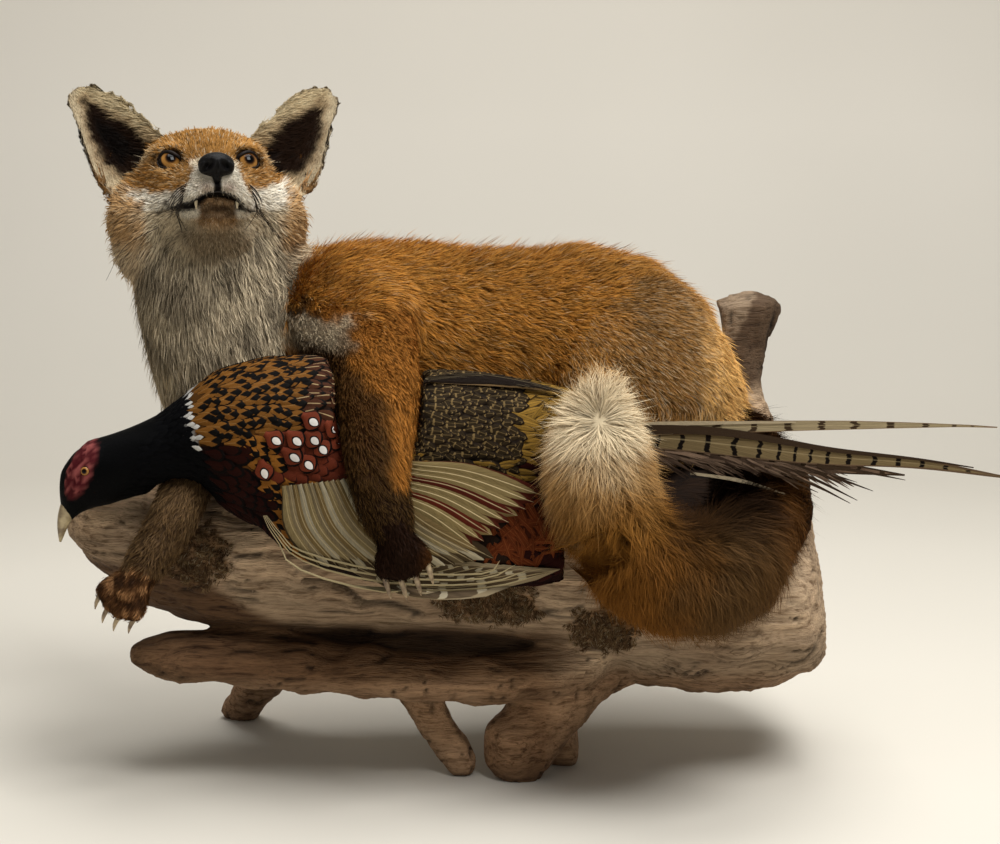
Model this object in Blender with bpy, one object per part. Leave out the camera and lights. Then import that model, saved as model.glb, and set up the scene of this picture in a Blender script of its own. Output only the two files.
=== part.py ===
"""A mounted red fox lying along a driftwood log, with a cock pheasant under its left fore paw.

Metres, +Z up. The log lies along X and the animal's left flank faces -Y. The floor is Z = 0.
Run with: blender --background --python part.py
"""

from collections import namedtuple
from math import cos, pi, radians, sin

import bmesh
import bpy
import numpy as np
from mathutils import Matrix, Vector

# ---------------------------------------------------------------- driving dimensions

GAP = 0.0009  # how far a cut stays from the piece that it is cut around
MODEL_MIDDLE = Vector((0.01783, -0.02350, 0.0))  # middle of the outline's box, as placed below

# The head is modelled about the middle of the line through its eyes: side, forward, up.
HEAD_PLACE = Vector((-0.2038, -0.0150, 0.4280))
HEAD_TURN = radians(11.5)  # to the fox's left, off -Y
HEAD_PITCH = radians(20)  # the muzzle is raised by this much
EYE_SIDE = 0.0262
EYE_FORWARD = 0.0090
EYE_RADIUS = 0.0080
EYE_OPENING = (Vector((0.0277, 0.0170, 0.0000)), Vector((0.0074, 0.0080, 0.0058)))  # between the lids
EAR_BASE = Vector((0.0500, -0.038, 0.012))
EAR_TIP = Vector((0.0890, -0.047, 0.0820))
EAR_SHIFT = 0.0020  # both ears are carried this far towards the fox's left
EAR_HALF_WIDTH = 0.0315
EAR_THICK = 0.0034
NOSE_PLACE = Vector((0.0, 0.0690, -0.0245))
NOSE_SIZE = Vector((0.0128, 0.0085, 0.0112))
NOSTRIL_WING = (Vector((0.0068, 0.0690, -0.0270)), Vector((0.0062, 0.0072, 0.0066)))
CANINE_PLACE = Vector((0.0135, 0.0530, -0.0375))
CANINE_LENGTH = 0.0125
CANINE_RADIUS = 0.0019

TAIL_CUTS = (0.34, 0.66)  # shares of the tail's length where one node ends and the next begins

# A section of a body: its centre, and half of its two sizes across.
Ring = namedtuple("Ring", "x y z wide tall")

# Round the head: x is side, y is forward, z is up, about HEAD_PLACE.
SKULL = (
    Ring(0, -0.078, -0.024, 0.044, 0.040),
    Ring(0, -0.056, -0.018, 0.058, 0.056),
    Ring(0, -0.030, -0.016, 0.062, 0.056),
    Ring(0, -0.008, -0.021, 0.056, 0.047),
    Ring(0, 0.010, -0.026, 0.043, 0.036),
    Ring(0, 0.024, -0.029, 0.030, 0.026),
)
MUZZLE = (
    Ring(0, -0.010, -0.024, 0.040, 0.032),
    Ring(0, 0.014, -0.0255, 0.0300, 0.0265),
    Ring(0, 0.034, -0.0270, 0.0245, 0.0220),
    Ring(0, 0.051, -0.0280, 0.0205, 0.0170),
    Ring(0, 0.063, -0.0275, 0.0165, 0.0130),
)
JAW = (
    Ring(0, -0.046, -0.064, 0.042, 0.018),
    Ring(0, -0.018, -0.061, 0.036, 0.017),
    Ring(0, 0.010, -0.0550, 0.0280, 0.0145),
    Ring(0, 0.029, -0.0520, 0.0175, 0.0110),
    Ring(0, 0.041, -0.0500, 0.0125, 0.0088),
)
CHEEK = (Vector((0.042, -0.028, -0.028)), Vector((0.0320, 0.038, 0.039)))
CHEEK_TUFT = (Vector((0.038, -0.040, -0.044)), Vector((0.0325, 0.036, 0.034)))
BROW = (Vector((0.025, 0.000, 0.009)), Vector((0.017, 0.013, 0.010)))
FLEW = (Vector((0.0140, 0.041, -0.0375)), Vector((0.0125, 0.024, 0.0120)))
EAR_ROOT = (Vector((0.047, -0.042, 0.002)), Vector((0.028, 0.026, 0.027)))
MOUTH = (Vector((0, 0.036, -0.0525)), Vector((0.0180, 0.0260, 0.0160)))

# The rest of the fox: world places.
NECK = (
    Ring(-0.2060, 0.030, 0.412, 0.046, 0.044),
    Ring(-0.2070, 0.016, 0.382, 0.062, 0.058),
    Ring(-0.2030, 0.006, 0.348, 0.061, 0.062),
    Ring(-0.1970, 0.003, 0.316, 0.060, 0.062),
    Ring(-0.1880, 0.006, 0.282, 0.062, 0.060),
    Ring(-0.1780, 0.010, 0.250, 0.058, 0.052),
)
TRUNK = (
    Ring(-0.1660, 0.016, 0.290, 0.058, 0.067),
    Ring(-0.1300, 0.022, 0.294, 0.071, 0.077),
    Ring(-0.0850, 0.028, 0.297, 0.074, 0.082),
    Ring(-0.0350, 0.030, 0.296, 0.070, 0.077),
    Ring(0.0200, 0.033, 0.295, 0.071, 0.076),
    Ring(0.0650, 0.035, 0.296, 0.075, 0.078),
    Ring(0.1020, 0.035, 0.286, 0.079, 0.071),
    Ring(0.1330, 0.034, 0.262, 0.074, 0.054),
    Ring(0.1540, 0.032, 0.243, 0.060, 0.040),
)
FORELEG_LEFT = (
    Ring(-0.1060, -0.002, 0.352, 0.038, 0.026),
    Ring(-0.1050, -0.034, 0.326, 0.047, 0.032),
    Ring(-0.0850, -0.078, 0.300, 0.0335, 0.030),
    Ring(-0.0800, -0.112, 0.272, 0.0285, 0.0265),
    Ring(-0.0790, -0.136, 0.244, 0.0235, 0.0220),
    Ring(-0.0760, -0.147, 0.220, 0.0205, 0.0185),
    Ring(-0.0710, -0.150, 0.203, 0.0190, 0.0165),
)
FORELEG_RIGHT = (
    Ring(-0.1980, 0.010, 0.264, 0.030, 0.030),
    Ring(-0.2020, -0.028, 0.250, 0.026, 0.026),
    Ring(-0.2060, -0.062, 0.236, 0.0215, 0.0210),
    Ring(-0.2110, -0.094, 0.214, 0.0195, 0.0190),
    Ring(-0.2210, -0.112, 0.190, 0.0185, 0.0175),
    Ring(-0.2350, -0.116, 0.168, 0.0180, 0.0160),
)
THIGH_LEFT = (
    Ring(0.1060, 0.000, 0.335, 0.038, 0.022),
    Ring(0.1020, -0.022, 0.304, 0.058, 0.030),
    Ring(0.0970, -0.034, 0.270, 0.060, 0.030),
    Ring(0.0960, -0.034, 0.242, 0.050, 0.026),
)
SHANK_LEFT = (
    Ring(0.1420, -0.008, 0.236, 0.018, 0.018),
    Ring(0.1240, -0.032, 0.236, 0.019, 0.0165),
    Ring(0.0900, -0.046, 0.234, 0.017, 0.0150),
    Ring(0.0500, -0.048, 0.233, 0.0165, 0.0140),
)
HIND_MIRROR = 0.073  # the right hind leg is the left one turned over at half of this Y
TAIL = (
    Ring(0.1560, 0.026, 0.248, 0.030, 0.030),
    Ring(0.1740, -0.006, 0.223, 0.034, 0.034),
    Ring(0.1770, -0.052, 0.198, 0.037, 0.036),
    Ring(0.1660, -0.098, 0.177, 0.040, 0.038),
    Ring(0.1390, -0.134, 0.163, 0.042, 0.041),
    Ring(0.1020, -0.146, 0.169, 0.043, 0.042),
    Ring(0.0750, -0.148, 0.196, 0.042, 0.041),
    Ring(0.0640, -0.142, 0.226, 0.044, 0.041),
    Ring(0.0630, -0.134, 0.254, 0.042, 0.036),
    Ring(0.0640, -0.128, 0.278, 0.030, 0.024),
)

# A paw: its width, and the sizes of its toes and claws.
PAW_WIDTH = 0.036
TOE_RADIUS = 0.0082
CLAW_LENGTH = 0.0120
CLAW_RADIUS = 0.0019
# Each paw reaches from its wrist to its toe tips, with its back turned towards a direction.
Paw = namedtuple("Paw", "name wrist tip back")
FORE_LEFT_WRIST = Vector((-0.0700, -0.151, 0.203))
FORE_LEFT_TIP = Vector((-0.0590, -0.152, 0.167))
FORE_RIGHT_WRIST = Vector((-0.2340, -0.117, 0.168))
FORE_RIGHT_TIP = Vector((-0.2560, -0.124, 0.136))
HIND_WRIST = Vector((0.0480, -0.050, 0.233))
HIND_TIP = Vector((0.0120, -0.049, 0.230))

# The pheasant.
BIRD_BODY = (
    Ring(0.0700, -0.080, 0.261, 0.012, 0.016),
    Ring(0.0350, -0.084, 0.251, 0.026, 0.038),
    Ring(-0.0050, -0.086, 0.241, 0.038, 0.054),
    Ring(-0.0550, -0.087, 0.235, 0.043, 0.062),
    Ring(-0.1050, -0.087, 0.239, 0.045, 0.067),
    Ring(-0.1480, -0.087, 0.245, 0.046, 0.061),
    Ring(-0.1800, -0.089, 0.247, 0.042, 0.052),
    Ring(-0.2020, -0.092, 0.245, 0.034, 0.038),
    Ring(-0.2200, -0.096, 0.241, 0.026, 0.028),
    Ring(-0.2420, -0.100, 0.235, 0.022, 0.0245),
    Ring(-0.2600, -0.103, 0.230, 0.021, 0.0245),
)
BIRD_HEAD = (
    Ring(-0.2560, -0.103, 0.232, 0.020, 0.0245),
    Ring(-0.2700, -0.105, 0.224, 0.019, 0.0240),
    Ring(-0.2800, -0.106, 0.214, 0.0155, 0.0190),
    Ring(-0.2850, -0.107, 0.205, 0.0100, 0.0125),
)
BIRD_BEAK = (
    Ring(-0.2830, -0.107, 0.208, 0.0070, 0.0085),
    Ring(-0.2870, -0.108, 0.199, 0.0055, 0.0068),
    Ring(-0.2910, -0.109, 0.190, 0.0036, 0.0044),
    Ring(-0.2930, -0.109, 0.182, 0.0016, 0.0018),
)
# The folded wing is a curved plate: top and bottom edges along X, and how far out it stands.
Slice = namedtuple("Slice", "x top bottom out")
BIRD_WING = (
    Slice(-0.186, 0.259, 0.227, -0.1180),
    Slice(-0.165, 0.273, 0.196, -0.1270),
    Slice(-0.140, 0.279, 0.174, -0.1320),
    Slice(-0.105, 0.279, 0.159, -0.1345),
    Slice(-0.065, 0.271, 0.151, -0.1340),
    Slice(-0.020, 0.255, 0.148, -0.1300),
    Slice(0.020, 0.229, 0.149, -0.1230),
    Slice(0.045, 0.197, 0.153, -0.1170),
)
WING_THICK = 0.007
WING_BULGE = 0.020
# A tail feather: where it starts and ends, its greatest half width and its lift in the middle.
Feather = namedtuple("Feather", "start end half_width bow")
BIRD_TAIL = (
    Feather((0.050, -0.082, 0.262), (0.345, -0.086, 0.257), 0.0060, 0.002),
    Feather((0.050, -0.086, 0.251), (0.340, -0.094, 0.224), 0.0150, 0.009),
    Feather((0.050, -0.086, 0.245), (0.250, -0.090, 0.211), 0.0110, 0.006),
)
FEATHER_THICK = 0.0016

# The driftwood.
LOG = (
    Ring(-0.2740, -0.066, 0.190, 0.032, 0.024),
    Ring(-0.2400, -0.036, 0.167, 0.058, 0.046),
    Ring(-0.1900, -0.014, 0.160, 0.080, 0.058),
    Ring(-0.1200, -0.004, 0.159, 0.088, 0.060),
    Ring(-0.0300, 0.000, 0.156, 0.092, 0.063),
    Ring(0.0500, 0.000, 0.150, 0.092, 0.070),
    Ring(0.1150, 0.000, 0.138, 0.094, 0.086),
    Ring(0.1750, 0.000, 0.137, 0.094, 0.088),
    Ring(0.2120, -0.002, 0.143, 0.086, 0.079),
)
BRANCH = (
    Ring(-0.2480, -0.058, 0.091, 0.014, 0.011),
    Ring(-0.2200, -0.058, 0.089, 0.024, 0.016),
    Ring(-0.1500, -0.056, 0.085, 0.030, 0.018),
    Ring(-0.0700, -0.054, 0.078, 0.032, 0.019),
    Ring(0.0000, -0.050, 0.074, 0.032, 0.019),
    Ring(0.0500, -0.044, 0.083, 0.030, 0.018),
    Ring(0.0850, -0.034, 0.096, 0.026, 0.016),
)
STUB = (
    Ring(-0.1050, 0.040, 0.112, 0.020, 0.018),
    Ring(-0.1400, 0.046, 0.080, 0.019, 0.016),
    Ring(-0.1750, 0.058, 0.048, 0.017, 0.015),
    Ring(-0.1960, 0.080, 0.020, 0.015, 0.014),
    Ring(-0.2020, 0.088, 0.008, 0.015, 0.014),
)
LEG_FRONT = (
    Ring(-0.0720, -0.030, 0.080, 0.016, 0.014),
    Ring(-0.0560, -0.038, 0.052, 0.0135, 0.012),
    Ring(-0.0360, -0.044, 0.022, 0.0115, 0.010),
    Ring(-0.0280, -0.046, 0.008, 0.0110, 0.010),
)
KNOB_FOOT = (
    Ring(0.0560, -0.042, 0.088, 0.042, 0.019),
    Ring(0.0430, -0.045, 0.064, 0.028, 0.018),
    Ring(0.0290, -0.048, 0.042, 0.025, 0.019),
    Ring(0.0140, -0.052, 0.025, 0.026, 0.021),
    Ring(0.0100, -0.053, 0.014, 0.021, 0.018),
)
REAR_FOOT = (
    Ring(0.0400, -0.008, 0.086, 0.018, 0.016),
    Ring(0.0430, -0.014, 0.050, 0.014, 0.012),
    Ring(0.0450, -0.020, 0.022, 0.012, 0.011),
    Ring(0.0460, -0.022, 0.008, 0.013, 0.012),
)
BACK_ROOT = (
    Ring(0.0300, 0.046, 0.098, 0.026, 0.020),
    Ring(0.0260, 0.064, 0.066, 0.020, 0.017),
    Ring(0.0220, 0.084, 0.034, 0.0165, 0.015),
    Ring(0.0200, 0.094, 0.010, 0.0165, 0.015),
)
SNAG = (
    Ring(0.1880, 0.062, 0.170, 0.024, 0.022),
    Ring(0.1960, 0.082, 0.212, 0.019, 0.017),
    Ring(0.1890, 0.094, 0.256, 0.0125, 0.0135),
    Ring(0.1860, 0.098, 0.288, 0.0165, 0.0140),
    Ring(0.1900, 0.100, 0.325, 0.0265, 0.0150),
)
SNAG_CUT = (Vector((0.197, 0.100, 0.329)), Vector((-0.12, -0.25, 1.0)))

# Materials: colour, roughness.
FINISHES = {
    "fur": ((0.46, 0.20, 0.06), 0.90),
    "fur_pale": ((0.74, 0.70, 0.63), 0.92),
    "fur_dark": ((0.06, 0.04, 0.03), 0.85),
    "glass_eye": ((0.45, 0.20, 0.03), 0.05),
    "nose_skin": ((0.02, 0.02, 0.02), 0.40),
    "tooth": ((0.80, 0.74, 0.60), 0.30),
    "plumage": ((0.30, 0.12, 0.04), 0.70),
    "driftwood": ((0.30, 0.22, 0.15), 0.85),
}


# ---------------------------------------------------------------- shapes

def clear_scene():
    for obj in list(bpy.data.objects):
        bpy.data.objects.remove(obj, do_unlink=True)


def make_finishes():
    """One Principled material for each entry of FINISHES."""
    for name, (colour, roughness) in FINISHES.items():
        material = bpy.data.materials.new(name)
        material.use_nodes = True
        shader = material.node_tree.nodes["Principled BSDF"]
        shader.inputs["Base Color"].default_value = (*colour, 1)
        shader.inputs["Roughness"].default_value = roughness
        shader.inputs["Metallic"].default_value = 0


def add_object(name, verts, faces, finish=None):
    """A mesh object of triangles that face outwards, shaded smooth."""
    mesh = bpy.data.meshes.new(name)
    mesh.from_pydata([tuple(v) for v in verts], [], faces)
    shell = bmesh.new()
    shell.from_mesh(mesh)
    bmesh.ops.recalc_face_normals(shell, faces=shell.faces)
    bmesh.ops.triangulate(shell, faces=shell.faces)
    shell.to_mesh(mesh)
    shell.free()
    mesh.shade_smooth()
    obj = bpy.data.objects.new(name, mesh)
    bpy.context.scene.collection.objects.link(obj)
    if finish:
        mesh.materials.append(bpy.data.materials[finish])
    return obj


def curve_through(rows, count):
    """Rows of numbers read at equal steps along a smooth curve through all of them."""
    rows = np.array(rows, float)
    padded = np.vstack([2 * rows[0] - rows[1], rows, 2 * rows[-1] - rows[-2]])
    found = []
    for t in np.linspace(0, len(rows) - 1, count):
        i = min(int(t), len(rows) - 2)
        s = t - i
        a, b, c, d = padded[i : i + 4]
        found.append(0.5 * (2 * b + (c - a) * s + (2 * a - 5 * b + 4 * c - d) * s * s
                            + (3 * b - a - 3 * c + d) * s ** 3))
    return np.array(found)


def tube(rings, up=(0, 0, 1), sides=16, count=14, caps=(0.7, 0.7), ripple=None):
    """Points and faces of a closed tube through the rings, with domed ends.

    A ring's wide size lies across both its route and up, and its tall size across the wide one.
    caps are the domes' depths as a share of the end ring's smaller size, and 0 leaves an end
    flat. ripple(share, angle) gives the outline's own unevenness as a factor.
    """
    rows = curve_through(rings, count)
    route = np.gradient(rows[:, :3], axis=0)
    route /= np.linalg.norm(route, axis=1)[:, None]
    across = np.cross(route, np.array(up, float))
    across /= np.linalg.norm(across, axis=1)[:, None]
    over = np.cross(across, route)
    dome = (pi / 6, pi / 3)
    sections = []
    for angle in reversed(dome) if caps[0] else ():
        shift = -route[0] * sin(angle) * caps[0] * min(rows[0, 3:])
        sections.append((0, shift, cos(angle)))
    sections += [(i, np.zeros(3), 1.0) for i in range(count)]
    for angle in dome if caps[1] else ():
        shift = route[-1] * sin(angle) * caps[1] * min(rows[-1, 3:])
        sections.append((count - 1, shift, cos(angle)))
    angles = [2 * pi * k / sides for k in range(sides)]
    verts = []
    for i, shift, scale in sections:
        for angle in angles:
            uneven = ripple(i / (count - 1), angle) if ripple else 1.0
            verts.append(rows[i, :3] + shift
                         + across[i] * rows[i, 3] * scale * uneven * cos(angle)
                         + over[i] * rows[i, 4] * scale * uneven * sin(angle))
    faces = []
    for j in range(len(sections) - 1):
        for k in range(sides):
            n = (k + 1) % sides
            faces.append((j * sides + k, j * sides + n, (j + 1) * sides + n, (j + 1) * sides + k))
    first = len(verts)
    verts.append(rows[0, :3] - route[0] * caps[0] * min(rows[0, 3:]))
    verts.append(rows[-1, :3] + route[-1] * caps[1] * min(rows[-1, 3:]))
    last = (len(sections) - 1) * sides
    for k in range(sides):
        n = (k + 1) % sides
        faces.append((first, n, k))
        faces.append((first + 1, last + k, last + n))
    return verts, faces


def ball(centre, size, sides=16, rows=10):
    """Points and faces of an ellipsoid."""
    verts = [Vector(centre) + Vector((0, 0, size[2])), Vector(centre) - Vector((0, 0, size[2]))]
    for j in range(1, rows):
        a = pi * j / rows
        for k in range(sides):
            b = 2 * pi * k / sides
            offset = Vector((sin(a) * cos(b) * size[0], sin(a) * sin(b) * size[1], cos(a) * size[2]))
            verts.append(Vector(centre) + offset)
    faces = []
    for k in range(sides):
        n = (k + 1) % sides
        faces.append((0, 2 + k, 2 + n))
        foot = 2 + (rows - 2) * sides
        faces.append((1, foot + n, foot + k))
        for j in range(rows - 2):
            a = 2 + j * sides
            faces.append((a + k, a + sides + k, a + sides + n, a + n))
    return verts, faces


def mirrored(place):
    return Vector((-place[0], place[1], place[2]))


def head_matrix():
    """From the head's own side, forward and up to world places."""
    forward = Vector((sin(HEAD_TURN) * cos(HEAD_PITCH), -cos(HEAD_TURN) * cos(HEAD_PITCH), sin(HEAD_PITCH)))
    side = Vector((cos(HEAD_TURN), sin(HEAD_TURN), 0))
    up = forward.cross(side)
    turn = Matrix((side, forward, up)).transposed()
    return Matrix.Translation(HEAD_PLACE) @ turn.to_4x4()


def placed(shape, matrix):
    verts, faces = shape
    return [matrix @ Vector(v) for v in verts], faces


def evaluated(obj):
    """Applies the object's modifiers to its mesh."""
    bpy.context.view_layer.update()
    graph = bpy.context.evaluated_depsgraph_get()
    mesh = bpy.data.meshes.new_from_object(obj.evaluated_get(graph))
    old = obj.data
    obj.modifiers.clear()
    obj.data = mesh
    bpy.data.meshes.remove(old)
    mesh.name = obj.name


def keep_largest(obj):
    """Removes crumbs that a cut has left beside the main body."""
    shell = bmesh.new()
    shell.from_mesh(obj.data)
    left = set(shell.verts)
    groups = []
    while left:
        reached = {left.pop()}
        edge = list(reached)
        while edge:
            near = {e.other_vert(v) for v in edge for e in v.link_edges} - reached
            reached |= near
            edge = list(near)
        left -= reached
        groups.append(reached)
    groups.sort(key=lambda group: group_volume(group), reverse=True)
    extra = [v for group in groups[1:] for v in group]
    bmesh.ops.delete(shell, geom=extra, context="VERTS")
    shell.to_mesh(obj.data)
    shell.free()


def group_volume(group):
    """The volume inside one closed group of vertices."""
    faces = {face for v in group for face in v.link_faces}
    total = 0.0
    for face in faces:
        origin = face.verts[0].co
        for a, b in zip(face.verts[1:-1], face.verts[2:]):
            total += origin.dot(a.co.cross(b.co)) / 6
    return total


def fused(name, shapes, voxel, triangles, finish, smoothing=3):
    """One smooth body over several closed shapes that run into each other."""
    verts, faces = [], []
    for more_verts, more_faces in shapes:
        start = len(verts)
        verts += [tuple(v) for v in more_verts]
        faces += [tuple(i + start for i in face) for face in more_faces]
    obj = add_object(name, verts, faces, finish)
    remesh = obj.modifiers.new("merge", "REMESH")
    remesh.mode = "VOXEL"
    remesh.voxel_size = voxel
    soften = obj.modifiers.new("soften", "SMOOTH")
    soften.factor = 0.5
    soften.iterations = smoothing
    evaluated(obj)
    keep_largest(obj)
    thin = obj.modifiers.new("thin", "DECIMATE")
    thin.ratio = min(1.0, triangles / (2 * len(obj.data.polygons)))
    thin.use_collapse_triangulate = True
    evaluated(obj)
    obj.data.shade_smooth()
    return obj


def grown_copy(obj, by):
    """A helper copy of the object with its surface moved out."""
    mesh = obj.data.copy()
    moved = [v.co + v.normal * by for v in mesh.vertices]
    for vert, place in zip(mesh.vertices, moved):
        vert.co = place
    helper = bpy.data.objects.new(obj.name + "_cutter", mesh)
    bpy.context.scene.collection.objects.link(helper)
    helper.hide_render = True
    helper.display_type = "WIRE"
    return helper


def combine(obj, other, operation):
    """A Boolean of the two, applied, with the other object removed.

    The exact solver loses the tail's root here, so all cuts use the solver for closed meshes.
    """
    cut = obj.modifiers.new("cut", "BOOLEAN")
    cut.operation = operation
    cut.solver = "MANIFOLD"
    cut.object = other
    evaluated(obj)
    mesh = other.data
    bpy.data.objects.remove(other, do_unlink=True)
    bpy.data.meshes.remove(mesh)
    keep_largest(obj)


def bounds(obj):
    places = np.array([v.co for v in obj.data.vertices])
    return places.min(axis=0) - GAP, places.max(axis=0) + GAP


def carve(order):
    """Cuts each object clear of all that come before it.

    The second cut clears what the first one's grown copy misses along creases.
    """
    for i, obj in enumerate(order):
        for other in order[:i]:
            low, high = bounds(obj)
            other_low, other_high = bounds(other)
            if (low < other_high).all() and (other_low < high).all():
                combine(obj, grown_copy(other, GAP), "DIFFERENCE")
                combine(obj, grown_copy(other, 0), "DIFFERENCE")


def cut_plane(obj, point, normal, keep_above):
    """Cuts a closed mesh by a plane and closes the cut with a flat face."""
    shell = bmesh.new()
    shell.from_mesh(obj.data)
    found = bmesh.ops.bisect_plane(
        shell, geom=shell.verts[:] + shell.edges[:] + shell.faces[:], plane_co=point,
        plane_no=normal, clear_inner=keep_above, clear_outer=not keep_above)
    rim = [g for g in found["geom_cut"] if isinstance(g, bmesh.types.BMEdge)]
    bmesh.ops.holes_fill(shell, edges=rim, sides=0)
    bmesh.ops.triangulate(shell, faces=[f for f in shell.faces if len(f.verts) > 4])
    bmesh.ops.recalc_face_normals(shell, faces=shell.faces)
    shell.to_mesh(obj.data)
    shell.free()


# ---------------------------------------------------------------- the fox's head

def ear_shape(side):
    """The cupped shell of one ear, with a rounded tip, in the head's own axes."""
    base = Vector((EAR_BASE.x * side + EAR_SHIFT, EAR_BASE.y, EAR_BASE.z))
    tip = Vector((EAR_TIP.x * side + EAR_SHIFT, EAR_TIP.y, EAR_TIP.z))
    along = tip - base
    length = along.length
    along.normalize()
    forward = Vector((0.16 * side, 1, 0.0))
    forward = (forward - along * forward.dot(along)).normalized()
    across = along.cross(forward)
    columns, rows = 7, 7
    verts, faces = [], []
    for face_side in (1, -1):
        for j in range(rows):
            t = -0.06 + 1.06 * j / (rows - 1)
            tip_round = max(0.0, 1 - max(0.0, (t - 0.80) / 0.2) ** 2.2) ** 0.5
            half = EAR_HALF_WIDTH * (1 - 0.62 * max(t, 0) ** 1.4) * (0.10 + 0.90 * tip_round)
            depth = 0.017 * (1 - 0.75 * max(t, 0))
            thick = EAR_THICK * (1 - 0.35 * max(t, 0)) / 2
            for k in range(columns):
                v = -1 + 2 * k / (columns - 1)
                back = depth * (1 - v * v) ** 0.9
                rim = thick * (1 - 0.45 * abs(v) ** 3)
                verts.append(base + along * (t * length) + across * (v * half)
                             + forward * (face_side * rim - back))
    size = rows * columns
    for j in range(rows - 1):
        for k in range(columns - 1):
            a = j * columns + k
            quad = (a, a + 1, a + columns + 1, a + columns)
            faces.append(quad)
            faces.append(tuple(size + i for i in reversed(quad)))
    rim = [k for k in range(columns)]
    rim += [j * columns + columns - 1 for j in range(1, rows)]
    rim += [(rows - 1) * columns + k for k in range(columns - 2, -1, -1)]
    rim += [j * columns for j in range(rows - 2, 0, -1)]
    for a, b in zip(rim, rim[1:] + rim[:1]):
        faces.append((a, size + a, size + b, b))
    return verts, faces


def build_eyes():
    world = head_matrix()
    size = Vector((EYE_RADIUS,) * 3)
    made = []
    for side, name in ((1, "left"), (-1, "right")):
        centre = Vector((EYE_SIDE * side, EYE_FORWARD, 0))
        made.append(add_object("eye_" + name, *placed(ball(centre, size, 9, 7), world), "glass_eye"))
    return made


def build_head():
    """The head with its mouth and eye openings, then what is set into it or grows from it."""
    world = head_matrix()
    shapes = [tube(SKULL, sides=24, count=16), tube(MUZZLE, sides=24, count=14, caps=(0.5, 0.45))]
    for centre, size in (CHEEK, CHEEK_TUFT, BROW, FLEW, EAR_ROOT):
        shapes += [ball(centre, size), ball(mirrored(centre), size)]
    shapes = [placed(shape, world) for shape in shapes]
    head = fused("head", shapes, 0.0022, 760, "fur", smoothing=8)
    opening, opening_size = EYE_OPENING
    holes = [ball(*MOUTH, 14, 8), ball(opening, opening_size, 10, 6),
             ball(mirrored(opening), opening_size, 10, 6)]
    for hole in holes:
        combine(head, add_object("opening", *placed(hole, world)), "DIFFERENCE")
    made = [head]

    wing, wing_size = NOSTRIL_WING
    nose = [ball(NOSE_PLACE, NOSE_SIZE), ball(wing, wing_size), ball(mirrored(wing), wing_size)]
    nose = [placed(shape, world) for shape in nose]
    made.append(fused("nose_pad", nose, 0.0008, 150, "nose_skin"))
    for side, name in ((1, "left"), (-1, "right")):
        top = Vector((CANINE_PLACE.x * side, CANINE_PLACE.y, CANINE_PLACE.z))
        foot = top + Vector((0.001 * side, -0.002, -CANINE_LENGTH))
        rings = (
            Ring(*top, CANINE_RADIUS, CANINE_RADIUS),
            Ring(*top.lerp(foot, 0.6), CANINE_RADIUS * 0.8, CANINE_RADIUS * 0.8),
            Ring(*foot, CANINE_RADIUS * 0.3, CANINE_RADIUS * 0.3),
        )
        tooth = placed(tube(rings, up=(0, 1, 0), sides=6, count=3, caps=(0, 0.7)), world)
        made.append(add_object("canine_" + name, *tooth, "tooth"))
        made.append(add_object("ear_" + name, *placed(ear_shape(side), world), "fur_dark"))
    jaw = placed(tube(JAW, sides=14, count=8, caps=(0.6, 0.8)), world)
    made.append(add_object("jaw", *jaw, "fur_pale"))
    return made


# ---------------------------------------------------------------- the fox's body

def paw_shape(wrist, tip, up):
    """Shapes of a paw that reaches from the wrist to the toe tips: pad, four toes and four claws."""
    along = (tip - wrist).normalized()
    across = along.cross(Vector(up)).normalized()
    up = across.cross(along)
    pad_rings = (
        Ring(*wrist, PAW_WIDTH * 0.46, PAW_WIDTH * 0.40),
        Ring(*wrist.lerp(tip, 0.35), PAW_WIDTH * 0.50, PAW_WIDTH * 0.40),
        Ring(*wrist.lerp(tip, 0.62), PAW_WIDTH * 0.50, PAW_WIDTH * 0.32),
    )
    shapes = [tube(pad_rings, up=up, sides=12, count=6)]
    for k in range(4):
        share = (k - 1.5) / 1.5  # -1 to 1 across the paw
        reach = 1.0 - 0.13 * abs(share) ** 2
        root = wrist.lerp(tip, 0.40) + across * share * PAW_WIDTH * 0.26
        end = wrist.lerp(tip, reach) + across * share * PAW_WIDTH * 0.40
        toe = (
            Ring(*root, TOE_RADIUS * 0.85, TOE_RADIUS * 0.85),
            Ring(*(root.lerp(end, 0.6) + up * 0.002), TOE_RADIUS, TOE_RADIUS),
            Ring(*end, TOE_RADIUS * 0.72, TOE_RADIUS * 0.72),
        )
        shapes.append(tube(toe, up=up, sides=10, count=6))
        claw_end = end + along * CLAW_LENGTH - up * 0.006
        claw = (
            Ring(*end, CLAW_RADIUS, CLAW_RADIUS * 1.2),
            Ring(*(end.lerp(claw_end, 0.6) + up * 0.0012), CLAW_RADIUS * 0.8, CLAW_RADIUS),
            Ring(*claw_end, CLAW_RADIUS * 0.45, CLAW_RADIUS * 0.45),
        )
        shapes.append(tube(claw, up=up, sides=8, count=5))
    return shapes


def build_paws():
    """The four paws, each with its toes and claws in one body."""
    far = Vector((1, -1, 1))
    shift = Vector((0, HIND_MIRROR, 0))
    paws = (
        Paw("paw_fore_left", FORE_LEFT_WRIST, FORE_LEFT_TIP, (0.15, -1, 0)),
        Paw("paw_fore_right", FORE_RIGHT_WRIST, FORE_RIGHT_TIP, (-0.3, -1, 0.1)),
        Paw("paw_hind_left", HIND_WRIST, HIND_TIP, (0, 0, 1)),
        Paw("paw_hind_right", HIND_WRIST * far + shift, HIND_TIP * far + shift, (0, 0, 1)),
    )
    made = []
    for paw in paws:
        shapes = paw_shape(paw.wrist, paw.tip, paw.back)
        made.append(fused(paw.name, shapes, 0.0012, 160, "fur_dark", smoothing=1))
    return made


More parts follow.
